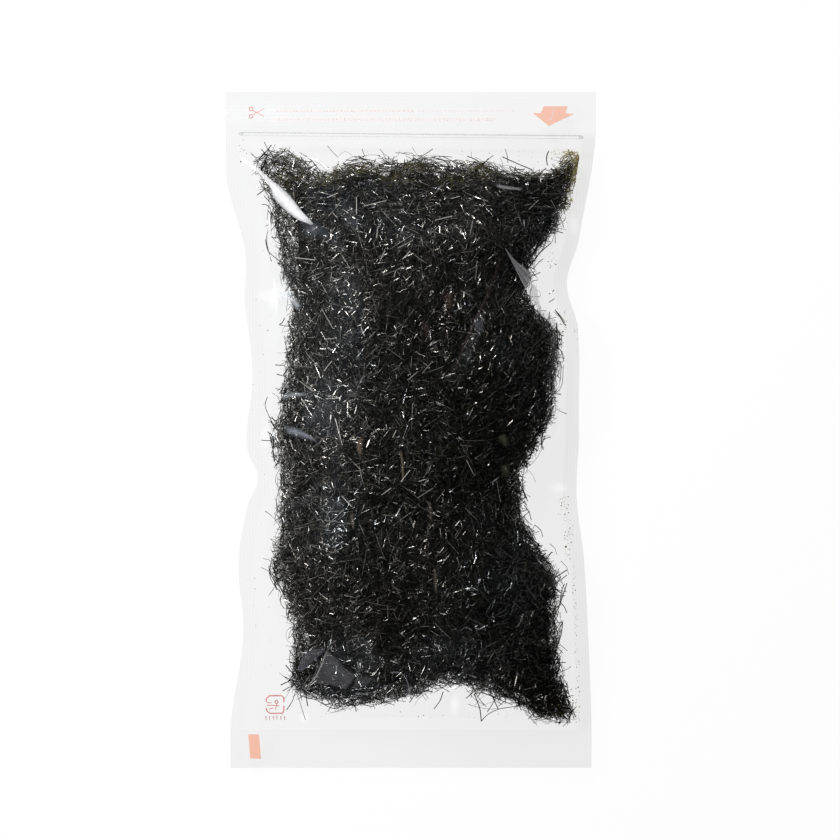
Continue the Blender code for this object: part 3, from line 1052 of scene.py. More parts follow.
def closed_skin(
    name: str,
    columns: int,
    rows: int,
    place: Callable[[np.ndarray, np.ndarray], tuple[np.ndarray, np.ndarray]],
) -> bpy.types.Object:
    """Model two sheets that meet along their rim.

    Args:
        name: Name of the new object.
        columns: Points across each sheet.
        rows: Points along each sheet.
        place: Gives the front's and the back's points from shares across and along.

    Returns:
        The closed skin.
    """
    front = sheet_grid(name, columns, rows)
    shares = read_points(front)[:, :2] + 0.5
    upper, lower = place(shares[:, 0], shares[:, 1])
    bpy.ops.object.duplicate()
    back = bpy.context.active_object
    place_points(front, upper)
    place_points(back, lower)
    activate(back)
    bpy.ops.object.mode_set(mode="EDIT")
    bpy.ops.mesh.select_all(action="SELECT")
    bpy.ops.mesh.flip_normals()
    activate(front, back)
    bpy.ops.object.join()
    bpy.ops.object.mode_set(mode="EDIT")
    bpy.ops.mesh.select_mode(type="EDGE")
    bpy.ops.mesh.select_all(action="DESELECT")
    bpy.ops.mesh.select_non_manifold()
    bpy.ops.mesh.bridge_edge_loops()
    bpy.ops.mesh.select_all(action="SELECT")
    bpy.ops.mesh.normals_make_consistent(inside=False)
    bpy.ops.object.mode_set(mode="OBJECT")
    return front


def joined(name: str, parts: list[bpy.types.Object]) -> bpy.types.Object:
    """Join parts into one piece.

    Args:
        name: Name of the piece.
        parts: What to join.

    Returns:
        The joined piece.
    """
    activate(*parts)
    bpy.ops.object.join()
    piece = bpy.context.active_object
    piece.name = name
    return piece


def thickened(name: str, parts: list[bpy.types.Object], thickness: float, offset: float) -> bpy.types.Object:
    """Join flat parts and give them a thickness.

    Args:
        name: Name of the piece.
        parts: Flat parts to join.
        thickness: How thick they become.
        offset: 1 to grow along their normals, -1 to grow against them.

    Returns:
        The joined piece.
    """
    piece = joined(name, parts)
    solid = piece.modifiers.new("thickness", "SOLIDIFY")
    solid.thickness = thickness
    solid.offset = offset
    bpy.ops.object.modifier_apply(modifier=solid.name)
    return piece


def mesh_piece(name: str, points: np.ndarray, faces: np.ndarray) -> bpy.types.Object:
    """Make an object from points and faces of one size.

    Args:
        name: Name of the new object.
        points: Rows of x, y and z.
        faces: Rows of point numbers.

    Returns:
        The new object, linked to the scene.
    """
    data = bpy.data.meshes.new(name)
    data.vertices.add(len(points))
    data.vertices.foreach_set("co", np.ascontiguousarray(points, np.float32).ravel())
    size = faces.shape[1]
    data.loops.add(faces.size)
    data.loops.foreach_set("vertex_index", np.ascontiguousarray(faces, np.int32).ravel())
    data.polygons.add(len(faces))
    data.polygons.foreach_set("loop_start", np.arange(0, faces.size, size, dtype=np.int32))
    data.update(calc_edges=True)
    data.validate()
    piece = bpy.data.objects.new(name, data)
    bpy.context.scene.collection.objects.link(piece)
    return piece


def take_template(piece: bpy.types.Object) -> tuple[np.ndarray, np.ndarray]:
    """Read a modelled piece's points and triangles, then remove it.

    Args:
        piece: Modelled piece, all triangles.

    Returns:
        Its points and its triangles.
    """
    points = read_points(piece)
    faces = np.empty(len(piece.data.polygons) * 3, np.int32)
    piece.data.polygons.foreach_get("vertices", faces)
    bpy.data.objects.remove(piece)
    return points, faces.reshape(-1, 3)


def copy_template(name: str, places: np.ndarray, faces: np.ndarray) -> bpy.types.Object:
    """Join many bent copies of a template into one piece.

    Args:
        name: Name of the new object.
        places: For each copy, the places of the template's points.
        faces: The template's triangles.

    Returns:
        The joined piece.
    """
    count, size = places.shape[:2]
    shift = (np.arange(count) * size)[:, None, None]
    return mesh_piece(name, places.reshape(-1, 3), (faces[None] + shift).reshape(-1, 3))


def dress(piece: bpy.types.Object, material: bpy.types.Material, rounded: bool = True) -> None:
    """Give a piece its material and tie it to the pouch's body.

    Args:
        piece: Piece to dress.
        material: Its finish.
        rounded: Whether it is shaded smooth.
    """
    piece.data.materials.clear()
    piece.data.materials.append(material)
    piece.data.polygons.foreach_set("use_smooth", [rounded] * len(piece.data.polygons))
    piece.data.update()
    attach(piece, BODY)
    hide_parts(NODE)
    LOG.info("%s: %d faces", piece.name, len(piece.data.polygons))


@dataclass
class PouchFilm:
    """Front and back film, sealed along both sides and the foot."""

    form: PouchForm
    columns: int = 158
    rows: int = 288
    seed: int = 21
    wrinkle_size: float = 26 * MM
    wrinkle_rise: float = 0.36 * MM
    crease_size: float = 11 * MM
    crease_rise: float = 0.13 * MM
    foot_cover: float = 0.010
    # Painted shade: extra cover that darkens the film towards the right and on its right seal.
    right_painted_shade: float = 0.020
    seam_cover_and_shade: float = 0.018
    # Painted highlights: patches where the film's cover drops so the glowing floor shows brighter, in
    # millimetres: middle, half sizes and loss of cover.
    painted_highlight_spots: Table = (
        (16.6, -103.8, 1.6, 3.4, 0.050), (-40.4, -108.9, 1.6, 1.8, 0.050), (-54.0, 50.5, 4.0, 2.2, 0.030),
        (-49.5, 53.0, 2.6, 2.6, 0.030), (-54.5, -2.6, 2.0, 3.6, 0.030), (61.5, 77.0, 1.8, 3.6, 0.040),
        (55.7, -21.8, 3.0, 1.8, 0.040),
    )

    def crumple(self, x: np.ndarray, y: np.ndarray) -> np.ndarray:
        """Wrinkles of the film, which fade towards the seals and over the packing.

        Args:
            x: Positions across, in metres.
            y: Positions along, in metres.

        Returns:
            The wrinkles' height at each position.
        """
        fade = smooth(self.form.inner(x, y, 3 * MM) / (9 * MM))
        ridged = 1 - np.abs(waves(x, y, self.wrinkle_size, self.seed, 1.5))
        fine = 1 - np.abs(waves(x, y, self.crease_size, self.seed + 1, 1.3))
        tight = 1 - 0.55 * smooth(self.form.inside(x, y) / (10 * MM))
        return fade * tight * (self.wrinkle_rise * ridged + self.crease_rise * fine)

    def place(self, u: np.ndarray, v: np.ndarray) -> tuple[np.ndarray, np.ndarray]:
        """Places of both films' points from their shares across and along.

        Args:
            u: Shares across.
            v: Shares along.

        Returns:
            The front's and the back's points.
        """
        y = self.form.low_end + v * self.form.length
        left, right = self.form.edges(y)
        x = left + (right - left) * u
        low, high = self.form.surfaces(x, y)
        high = high + self.crumple(x, y)
        front = np.stack([x, y, high], axis=-1)
        return front, np.stack([x, y, np.maximum(low, 0.0)], axis=-1)

    def zones(self, x: np.ndarray, y: np.ndarray) -> np.ndarray:
        """Values of the attribute that the film's finish reads.

        Args:
            x: Positions across, in metres.
            y: Positions along, in metres.

        Returns:
            Side seal, end seal and extra cover, with its painted shade and painted highlights, at each
            position.
        """
        left, right = self.form.edges(y)
        edge = np.minimum(x - left, right - x)
        above_foot = y - self.form.low_end
        body = smooth((self.form.zip_at - y) / (2 * MM)) * smooth((above_foot - 13 * MM) / (3 * MM))
        side = smooth((self.form.side_seal - edge) / (0.7 * MM)) * body
        foot = smooth((self.form.foot_seal - above_foot) / (0.7 * MM))
        head = smooth((y - self.form.zip_at) / (2 * MM))
        # Painted shade: more cover towards the right, and more on the right seal.
        right_shade_mask = smooth((x + 20 * MM) / (75 * MM)) * (1 - head)
        extra = self.foot_cover * foot + self.right_painted_shade * right_shade_mask + self.seam_cover_and_shade * side * right_shade_mask
        # Painted highlights: the cover drops at these spots.
        for *place, less in self.painted_highlight_spots:
            extra = extra - less * np.exp(-(oval(x, y, *place) ** 2))
        return np.stack([side, np.maximum(foot, head), extra * EXTRA_SCALE, np.ones_like(x)], axis=-1)

    def haze(self, x: np.ndarray, y: np.ndarray) -> np.ndarray:
        """Colour and cover of the film's milky patches, its painted reflections and glow, at each point.

        Args:
            x: Positions across, in metres.
            y: Positions along, in metres.

        Returns:
            Red, green, blue and cover at each position.
        """
        colour = np.full((len(x), 3), 1e-4)
        weight = np.full(len(x), 1e-3)
        bare = np.ones(len(x))
        ragged = np.clip(0.8 + 0.35 * waves(x, y, 9 * MM, 51), 0.2, 1.5)
        for patch in PAINTED_HAZES:
            reach = oval(x, y, patch.x, patch.y, patch.across, patch.along, patch.turn)
            cover = patch.cover * np.exp(-reach) * ragged
            colour = colour + np.array(patch.colour) * cover[:, None]
            weight = weight + cover
            bare = bare * (1 - np.clip(cover, 0, 0.9))
        return np.column_stack([colour / weight[:, None], 1 - bare])

    def build(self) -> bpy.types.Object:
        """Make both films as one closed skin.

        Returns:
            The film.
        """
        film = closed_skin("pouch_film", self.columns, self.rows, self.place)
        points = read_points(film)
        x, y, z = points.T
        paint(film, "zone", self.zones(x, y))
        # Painted haze, kept on the front film only.
        haze = self.haze(x, y)
        low, high = self.form.surfaces(x, y)
        haze[:, 3] *= z > (low + high) / 2
        paint(film, "haze", haze)
        return film


@dataclass
class FilmFolds:
    """The film's creases and folded facets, as thin slips just over it, whose milky colour paints their
    highlights and reflections.
    """

    form: PouchForm
    film: PouchFilm
    across: int = 7
    along: int = 25
    lift: float = 0.26 * MM
    ridge: float = 0.25 * MM
    thickness: float = 0.06 * MM

    def line(self, path: Path, shares: np.ndarray) -> np.ndarray:
        """Points at shares of an edge line, eased between its corners.

        Args:
            path: The line's corners, in millimetres.
            shares: Shares of its length.

        Returns:
            The x and y at each share.
        """
        corners = np.array(path) * MM
        at = np.linspace(0, 1, len(corners))
        found = np.stack([np.interp(shares, at, corners[:, i]) for i in (0, 1)], axis=-1)
        reach = 0.25 / (len(corners) - 1)
        for i in (0, 1):
            ahead = np.interp(np.clip(shares + reach, 0, 1), at, corners[:, i])
            behind = np.interp(np.clip(shares - reach, 0, 1), at, corners[:, i])
            inner = (shares > reach) & (shares < 1 - reach)
            found[:, i] = np.where(inner, (ahead + behind) / 2, found[:, i])
        return found

    def slip(self, fold: Fold, number: int) -> bpy.types.Object:
        """Model one fold between its two edge lines.

        Args:
            fold: The fold's edge lines and looks.
            number: Its number, which shifts its streaks.

        Returns:
            The slip.
        """
        sheet = sheet_grid(f"fold_{number}", self.across, self.along)
        shares = read_points(sheet)[:, :2] + 0.5
        u, v = shares[:, 0], shares[:, 1]
        left, right = self.line(fold.left, v), self.line(fold.right, v)
        x, y = (left * (1 - u)[:, None] + right * u[:, None]).T
        high = self.form.surfaces(x, y)[1] + self.film.crumple(x, y)
        ridge = self.ridge * np.sin(np.pi * u) * np.sin(np.pi * v)
        place_points(sheet, np.stack([x, y, high + self.lift + ridge], axis=-1))
        rim = np.minimum(np.minimum(u, 1 - u) * 2, np.minimum(v, 1 - v) * 4)
        ease = 1 - fold.soft * (1 - smooth(rim / max(fold.soft, 0.05)))
        lines = 0.5 + 0.5 * np.sin(u * 23 + 2.1 * np.sin(v * 5 + number))
        cover = fold.cover * ease * (1 - fold.streak * lines) * (1 - fold.fade * (1 - smooth(v / 0.5)))
        # The fold's colour and cover are its painted highlights and reflections.
        colour = np.tile(fold.colour, (len(u), 1))
        each = 1 - np.sqrt(1 - np.clip(cover, 0, 0.999))
        paint(sheet, "sheen", np.column_stack([colour, each]))
        return sheet

    def build(self) -> bpy.types.Object:
        """Make all folds as one piece."""
        slips = [self.slip(fold, i) for i, fold in enumerate(FOLD_HIGHLIGHTS)]
        return thickened("film_fold_highlights", slips, self.thickness, -1.0)


@dataclass
class PressZip:
    """The press zip's two rails, crushed flat at both ends."""

    form: PouchForm
    radius: float = 0.22 * MM
    low_share: float = 0.38
    crush: tuple[float, float, float] = (1.0 * MM, 0.7 * MM, 0.22 * MM)
    lift: float = 0.15 * MM
    rail_lift: float = 0.2 * MM
    end_reach: float = 0.2 * MM

    def rail(self, name: str, offset: float, radius: float) -> bpy.types.Object:
        """Model one rail as a long bead that runs across the pouch.

        Args:
            name: Name of the rail.
            offset: Its distance from the zip's middle.
            radius: Its radius.

        Returns:
            The rail.
        """
        clear_selection()
        reach = self.form.zip_reach
        bpy.ops.mesh.primitive_cylinder_add(vertices=12, radius=radius, depth=2 * reach)
        rail = bpy.context.active_object
        rail.name = name
        bpy.ops.transform.rotate(value=math.pi / 2, orient_axis="Y", center_override=(0, 0, 0))
        bpy.ops.transform.rotate(
            value=-math.atan(self.form.zip_slope), orient_axis="Z", center_override=(0, 0, 0)
        )
        height = float(self.form.surfaces(np.zeros(1), np.full(1, self.form.zip_at))[1][0])
        bpy.ops.transform.translate(value=(0, self.form.zip_at + offset, height + self.rail_lift))
        bpy.ops.object.transform_apply(location=True, rotation=True, scale=True)
        return rail

    def crushed_end(self, name: str, side: float) -> bpy.types.Object:
        """Model the flattened end of both rails.

        Args:
            name: Name of the end.
            side: -1 for the left end, 1 for the right.

        Returns:
            The end.
        """
        clear_selection()
        bpy.ops.mesh.primitive_uv_sphere_add(segments=16, ring_count=8, radius=1)
        end = bpy.context.active_object
        end.name = name
        end.scale = self.crush
        x = side * (self.form.zip_reach + self.end_reach)
        y = float(self.form.zip_y(np.array(x)))
        height = float(self.form.surfaces(np.array([x]), np.array([y]))[1][0])
        end.location = (x, y, height + self.lift)
        bpy.ops.object.transform_apply(location=True, rotation=True, scale=True)
        return end

    def build(self) -> bpy.types.Object:
        """Make both rails and their ends as one piece.

        Returns:
            The zip.
        """
        pitch = self.form.zip_pitch
        parts = [
            self.rail("press_zip", 0.5 * pitch, self.radius),
            self.rail("zip_low", -0.5 * pitch, self.radius * self.low_share),
            self.crushed_end("zip_left", -1.0),
            self.crushed_end("zip_right", 1.0),
        ]
        return joined("press_zip", parts)


@dataclass
class FlatPrint:
    """Generic print: cut line, dash rows, arrow, scissors, mark and colour bar."""

    form: PouchForm
    film: PouchFilm
    lift: float = 0.05 * MM
    thickness: float = 0.04 * MM

    def plate(self, corners: Path) -> bpy.types.Object:
        """Model a flat plate with the given corners, in millimetres.

        Args:
            corners: The plate's corners.

        Returns:
            The plate.
        """
        clear_selection()
        bpy.ops.mesh.primitive_circle_add(vertices=len(corners), radius=1, fill_type="NGON")
        plate = bpy.context.active_object
        flat = np.array(corners) * MM
        x, y = flat.T
        if x @ np.roll(y, -1) < y @ np.roll(x, -1):
            flat = flat[::-1]
        place_points(plate, np.column_stack([flat, np.zeros(len(flat))]))
        return plate

    def bar(self, start: tuple[float, float], end: tuple[float, float], width: float) -> bpy.types.Object:
        """Model a straight stroke between two points, in millimetres.

        Args:
            start: One end.
            end: The other end.
            width: The stroke's width.

        Returns:
            The stroke.
        """
        (x0, y0), (x1, y1) = start, end
        size = math.hypot(x1 - x0, y1 - y0)
        nx, ny = -(y1 - y0) / size * width / 2, (x1 - x0) / size * width / 2
        return self.plate(((x0 - nx, y0 - ny), (x1 - nx, y1 - ny), (x1 + nx, y1 + ny), (x0 + nx, y0 + ny)))

    def ring(self, x: float, y: float, radius: float, width: float) -> bpy.types.Object:
        """Model a flat ring about a point, in millimetres.

        Args:
            x: The middle across.
            y: The middle along.
            radius: The ring's radius.
            width: Its stroke's width.

        Returns:
            The ring.
        """
        clear_selection()
        bpy.ops.mesh.primitive_torus_add(
            location=(x * MM, y * MM, 0), major_radius=radius * MM, minor_radius=width / 2 * MM,
            major_segments=20, minor_segments=4,
        )
        ring = bpy.context.active_object
        ring.scale = (1, 1, 0.02)
        bpy.ops.object.transform_apply(location=True, rotation=True, scale=True)
        return ring

    def finish(self, name: str, parts: list[bpy.types.Object], lift: float | None = None) -> bpy.types.Object:
        """Join the parts, give them thickness and lay them on the film.

        Args:
            name: Name of the piece.
            parts: Plates to join.
            lift: Height over the film, where it isn't the usual one.

        Returns:
            The print's piece.
        """
        piece = thickened(name, parts, self.thickness, 1.0)
        points = read_points(piece)
        x, y = points[:, 0], points[:, 1]
        high = self.form.surfaces(x, y)[1] + self.film.crumple(x, y)
        points[:, 2] += high + (self.lift if lift is None else lift)
        place_points(piece, points)
        return piece

    def arrow(self) -> bpy.types.Object:
        """Model the arrow that points down to the zip.

        Returns:
            The arrow.
        """
        corners = (
            (50.2, 122.5), (59.3, 122.5), (58.4, 119.85), (61.8, 119.6), (52.1, 114.9), (45.9, 119.9),
            (49.1, 119.9),
        )
        return self.finish("print_arrow", [self.plate(corners)])

    def arrow_marks(self) -> bpy.types.Object:
        """Model the pale specks down the arrow's middle.

        Returns:
            The specks, as one piece.
        """
        spots = ((53.9, 121.4), (53.6, 120.1), (53.2, 118.8), (52.9, 117.6))
        parts = [self.bar((x - 0.35, y + 0.15), (x + 0.35, y - 0.15), 0.3) for x, y in spots]
        parts += [self.bar((x + 0.25, y + 0.5), (x + 0.3, y + 0.1), 0.22) for x, y in spots]
        return self.finish("print_arrow_marks", parts, self.lift * 2.2)

    def cut_line(self) -> bpy.types.Object:
        """Model the dotted cut line and the rows of plain dashes.

        Returns:
            The dots and dashes, as one piece.
        """
        parts = []
        for x in np.arange(2.5, 39.6, 1.06):
            parts.append(self.bar((x, 120.7), (x + 0.36, 120.7), 0.3))
        # Each dash row: its y, its ends and its height, with three thin strokes at each place.
        rng = np.random.default_rng(7)
        for y, ends, height in ((120.7, (-51.0, 1.5), 0.75), (117.3, (-51.7, 32.0), 1.15)):
            x = ends[0]
            while x < ends[1]:
                size = float(rng.uniform(0.45, 1.25))
                for level in (-0.35, 0.0, 0.35):
                    shift, part = rng.uniform(-0.1, 0.1), rng.uniform(0.45, 1.0)
                    at = y + level * height
                    parts.append(self.bar((x + shift, at), (x + size * part + shift, at), 0.15))
                x += size + float(rng.uniform(0.35, 0.6))
        return self.finish("print_lines", parts)

    def scissors(self) -> bpy.types.Object:
        """Model the scissors at the cut line's start.

        Returns:
            The scissors.
        """
        parts = [
            self.ring(-60.5, 121.5, 0.72, 0.24),
            self.ring(-60.5, 118.6, 0.72, 0.24),
            self.bar((-60.0, 119.1), (-55.6, 121.6), 0.30),
            self.bar((-60.0, 121.0), (-55.6, 118.6), 0.30),
        ]
        return self.finish("print_scissors", parts)

    def mark(self) -> bpy.types.Object:
        """Model a plain framed mark with a ring and the dashes under it.

        Returns:
            The mark.
        """
        left, right, low, high, frame_width, stroke = -54.6, -48.0, -107.0, -100.2, 0.55, 0.35
        frame_bars = (
            (left + 1.2, high, right - 0.8, high), (left + 1.2, low, right - 0.8, low),
            (left, high - 1.2, left, high - 2.4), (left, low + 1.2, left, low + 2.2),
            (right, high - 0.8, right, high - 2.6), (right, low + 0.8, right, low + 3.0),
            (left, high - 1.2, left + 1.2, high), (left, low + 1.2, left + 1.2, low),
            (right, high - 0.8, right - 0.8, high), (right, low + 0.8, right - 0.8, low),
        )
        strokes = (
            (left + 0.2, -102.9, left + 2.0, -102.9), (left + 0.2, -103.9, left + 2.4, -103.9),
            (left + 0.9, -105.4, left + 2.6, -104.9), (-52.2, -103.9, -49.6, -104.1),
            (-50.6, -103.4, -51.2, -105.6),
        )
        parts = [self.bar((x0, y0), (x1, y1), frame_width) for x0, y0, x1, y1 in frame_bars]
        parts += [self.bar((x0, y0), (x1, y1), stroke) for x0, y0, x1, y1 in strokes]
        parts.append(self.ring(-50.8, -102.6, 0.55, 0.3))
        for i, size in enumerate((0.9, 0.8, 1.0, 0.7, 0.9, 0.8)):
            x = -55.3 + i * 1.42
            parts.append(self.bar((x, -108.4), (x + size, -108.4), 0.28))
            parts.append(self.bar((x + size / 2, -108.2), (x + size / 2, -109.7), 0.28))
        return self.finish("print_mark", parts)

    def colour_bar(self) -> bpy.types.Object:
        """Model the plain colour bar in the foot seal."""
        corners = ((-61.6, -115.1), (-57.5, -115.2), (-56.8, -124.6), (-60.9, -124.4))
        return self.finish("print_bar", [self.plate(corners)])


@dataclass
class NoriCore:
    """Dark heart of the packing, which closes the gaps between the shreds."""

    form: PouchForm
    columns: int = 90
    rows: int = 150
    inset: float = 1.5 * MM
    depth: float = 2.0 * MM
    thinnest: float = 0.6 * MM
    over_back: float = 1.6 * MM
    roughness: float = 0.5 * MM
    rounds: int = 4

    def place(self, u: np.ndarray, v: np.ndarray) -> tuple[np.ndarray, np.ndarray]:
        """Places of the core's upper and lower points.

        Args:
            u: Shares across.
            v: Shares along.

        Returns:
            The upper and the lower points.
        """
        # A plain oblong to start from, which each round draws closer to the outline.
        x, y = -50 * MM + u * 100 * MM, -98 * MM + v * 195 * MM
        for _ in range(self.rounds):
            inset = self.inset + self.form.thin(x, y) + 0.8 * MM * waves(x, y, 9 * MM, 32)
            left, right = self.form.rim(y, self.form.rim_left), self.form.rim(y, self.form.rim_right)
            x = left + inset + (right - left - 2 * inset) * u
            foot, top = self.form.rim(x, self.form.rim_foot), self.form.rim(x, self.form.rim_top)
            y = foot + inset + (top - foot - 2 * inset) * v
        low, high = self.form.surfaces(x, y)
        middle = (low + high) / 2
        rough = self.roughness * waves(x, y, 4.5 * MM, 31)
        high = np.maximum(high - self.depth + rough, middle + self.thinnest / 2)
        low = np.minimum(low + self.over_back, middle - self.thinnest / 2)
        return np.stack([x, y, high], axis=-1), np.stack([x, y, low], axis=-1)

    def build(self) -> bpy.types.Object:
        """Make the core as a closed lump within the packing's outline."""
        return closed_skin("nori_core", self.columns, self.rows, self.place)


@dataclass
class Shred:
    """One cut shred, modelled once and bent along many lines."""

    segments: int

    def model(self) -> tuple[np.ndarray, np.ndarray]:
        """Model the straight shred as a long three-sided bar.

        Returns:
            Its points, as share across, share of the thickness and station, and its triangles.
        """
        clear_selection()
        bpy.ops.mesh.primitive_cylinder_add(vertices=3, radius=1, depth=1, end_fill_type="NOTHING")
        bar = bpy.context.active_object
        array = bar.modifiers.new("run", "ARRAY")
        array.count = self.segments
        array.use_relative_offset = False
        array.use_constant_offset = True
        array.constant_offset_displace = (0, 0, 1)
        array.use_merge_vertices = True
        bpy.ops.object.modifier_apply(modifier=array.name)
        bpy.ops.object.mode_set(mode="EDIT")
        bpy.ops.mesh.select_all(action="SELECT")
        bpy.ops.mesh.fill_holes(sides=3)
        bpy.ops.mesh.select_all(action="SELECT")
        bpy.ops.mesh.quads_convert_to_tris()
        bpy.ops.mesh.normals_make_consistent(inside=False)
        bpy.ops.object.mode_set(mode="OBJECT")
        points, faces = take_template(bar)
        return np.column_stack(
            [points[:, 0] / math.sqrt(3), (points[:, 1] + 0.5) / 1.5, np.rint(points[:, 2] + 0.5)]
        ), faces

    def bend(
        self,
        name: str,
        lines: np.ndarray,
        normal: np.ndarray,
        width: np.ndarray,
        roll: np.ndarray,
        thickness: float,
    ) -> bpy.types.Object:
        """Copy the shred along each line.

        Args:
            name: Name of the joined piece.
            lines: For each copy, the stations' places.
            normal: The film's upward direction at each station.
            width: Each copy's width.
            roll: Turn about the line at each station, in radians, from flat side up.
            thickness: Thickness of every copy.

        Returns:
            All copies as one piece.
        """
        template, faces = self.model()
        along = np.gradient(lines, axis=1)
        along /= np.linalg.norm(along, axis=-1, keepdims=True)
        across = np.cross(along, normal)
        across /= np.linalg.norm(across, axis=-1, keepdims=True)
        up = np.cross(across, along)
        cos, sin = -np.cos(roll)[..., None], -np.sin(roll)[..., None]
        flat, proud = across * cos + up * sin, up * cos - across * sin
        station = template[:, 2].astype(int)
        places = lines[:, station]
        places = places + flat[:, station] * (template[:, 0][None, :, None] * width[:, None, None])
        places = places + proud[:, station] * (template[:, 1][None, :, None] * thickness)
        return copy_template(name, places, faces)


class Side(Enum):
    """Which part of the packing a bed of shreds covers."""

    FRONT = "front"
    BACK = "back"
    FRINGE = "fringe"
    LOOSE = "loose"


@dataclass
class ShredBed:
    """A bed of cut nori shreds, each a thin bent strip."""

    form: PouchForm
    name: str
    side: Side
    count: int
    shortest: float
    longest: float
    segments: int
    seed: int
    width: float = 0.25 * MM
    thickness: float = 0.09 * MM
    top: float = 0.6 * MM
    bury: float = 1.0 * MM
    lean: float = 0.10
    curl: float = 0.018
    clearance: float = 0.35 * MM
    fringe_reach: float = 4.6 * MM
    loose_band: Range = (-2.0 * MM, 0.6 * MM)
    field: tuple[Range, Range] = ((-66 * MM, 66 * MM), (-112 * MM, 110 * MM))
    flow: float = 0.75
    flow_spread: float = 0.42
    rim_spread: float = 0.38
    loose_spread: float = 0.25
    roll_spread: float = 0.8
    twist_spread: float = 0.5

    def centres(self, rng: np.random.Generator) -> tuple[np.ndarray, np.ndarray]:
        """Draw the shreds' middles inside the packing's outline.

        Args:
            rng: Seeded source of random numbers.

        Returns:
            The middles' x and y.
        """
        xs: list[np.ndarray] = []
        ys: list[np.ndarray] = []
        found = 0
        while found < self.count:
            x, y = (rng.uniform(*ends, self.count) for ends in self.field)
            inside = self.form.inside(x, y)
            chance = rng.uniform(0, 1, self.count)
            if self.side is Side.FRINGE:
                keep = (inside < self.fringe_reach) & (chance < smooth((inside + 0.9 * MM) / (2.5 * MM)))
            elif self.side is Side.LOOSE:
                keep = (inside > self.loose_band[0]) & (inside < self.loose_band[1])
            else:
                keep = (inside > 0) & (chance < inside / self.form.thin(x, y))
            xs.append(x[keep])
            ys.append(y[keep])
            found += int(keep.sum())
        return np.concatenate(xs)[: self.count], np.concatenate(ys)[: self.count]

    def headings(
        self, rng: np.random.Generator, x: np.ndarray, y: np.ndarray, size: np.ndarray
    ) -> np.ndarray:
        """Draw each shred's direction, which follows the outline near it.

        Args:
            rng: Seeded source of random numbers.
            x: Middle of each shred across.
            y: Middle of each shred along.
            size: Length of each shred.

        Returns:
            Each shred's direction, in radians.
        """
        reach = 2.5 * MM
        dx = self.form.inside(x + reach, y) - self.form.inside(x - reach, y)
        dy = self.form.inside(x, y + reach) - self.form.inside(x, y - reach)
        tangent = np.arctan2(dy, dx) + np.pi / 2
        count = len(x)
        # A shred that would reach past the outline mostly lies along it.
        need = np.clip(1.15 - self.form.inside(x, y) / (0.5 * size), 0, 1)
        free = rng.uniform(0, 1, count) > need * (0.96 if self.side is Side.FRINGE else 1.0)
        spread = self.loose_spread if self.side is Side.LOOSE else self.rim_spread
        # Most others lie any way, and some with the flow, more of them in the head and on the slant.
        head = smooth((y - 72 * MM) / (14 * MM))
        slant = smooth((x - 15 * MM) / (15 * MM)) * np.exp(-(((y - 22 * MM) / (25 * MM)) ** 2))
        flow = self.flow - 0.65 * head + rng.normal(0, self.flow_spread, count)
        loose = rng.uniform(0, 1, count) > 0.12 + 0.33 * head + 0.3 * slant
        turned = np.where(loose, rng.uniform(0, 2 * np.pi, count), flow)
        return np.where(free, turned, tangent + rng.normal(0, spread, count))

    def lines(self, rng: np.random.Generator) -> tuple[np.ndarray, np.ndarray]:
        """Lay out the middle line of each shred.

        Args:
            rng: Seeded source of random numbers.

        Returns:
            Stations along each shred and the film's upward direction at them.
        """
        cx, cy = self.centres(rng)
        count = self.count
        size = self.shortest + (self.longest - self.shortest) * rng.beta(1.3, 2.8, count)
        turn = self.headings(rng, cx, cy, size)
        bend = rng.normal(0, 1, count) * self.curl / MM
        kink = rng.normal(0, 1, count) * self.curl * 0.1 / MM / MM
        steps = np.linspace(-0.5, 0.5, self.segments + 1)
        run = size[:, None] * steps[None, :]
        angle = turn[:, None] + bend[:, None] * run + kink[:, None] * run**2
        mid_angle = (angle[:, 1:] + angle[:, :-1]) / 2
        step = np.diff(run, axis=1)
        run_out = []
        for centre, share in ((cx, np.cos(mid_angle)), (cy, np.sin(mid_angle))):
            path = np.concatenate([np.zeros((count, 1)), np.cumsum(step * share, axis=1)], axis=1)
            run_out.append(path + (centre[:, None] - path.mean(axis=1, keepdims=True)))
        x, y = run_out
        # Shreds that reach into a side seal are moved back in.
        left, right = self.form.edges(y)
        seal = self.form.side_seal
        x = x - np.maximum((x - right + seal).max(axis=1, keepdims=True), 0)
        x = x + np.maximum((left + seal - x).max(axis=1, keepdims=True), 0)
        low, high = self.form.surfaces(x, y)
        if self.side is Side.FRONT:
            depth = self.top + rng.exponential(self.bury, count)
            tilt = rng.normal(0, self.lean, count)
            z = high - np.abs(depth[:, None] + tilt[:, None] * run)
        elif self.side is Side.BACK:
            depth = 0.4 * MM + rng.exponential(self.bury, count)
            tilt = rng.normal(0, 0.08, count)
            z = low + np.abs(depth[:, None] + tilt[:, None] * run)
        else:
            level = rng.uniform(0.1, 0.95, count)[:, None]
            z = low + (high - low) * level + rng.normal(0, 0.12, count)[:, None] * run
        floor = low + self.clearance
        z = np.clip(z, floor, np.maximum(high - self.clearance, floor + 0.01 * MM))
        return np.stack([x, y, z], axis=-1), upward(self.form, x, y)

    def build(self) -> bpy.types.Object:
        """Make all the bed's shreds as one mesh.

        Returns:
            The bed.
        """
        rng = np.random.default_rng(self.seed)
        lines, normal = self.lines(rng)
        width = self.width * rng.uniform(0.7, 1.3, self.count)
        share = np.linspace(-0.5, 0.5, self.segments + 1)
        roll, twist = (rng.normal(0, s, self.count)[:, None] for s in (self.roll_spread, self.twist_spread))
        shred = Shred(self.segments)
        bed = shred.bend(self.name, lines, normal, width, roll + twist * share, self.thickness)
        middle = lines.mean(axis=1)
        tint_shreds(self.form, bed, rng, middle[:, 0], middle[:, 1])
        return bed


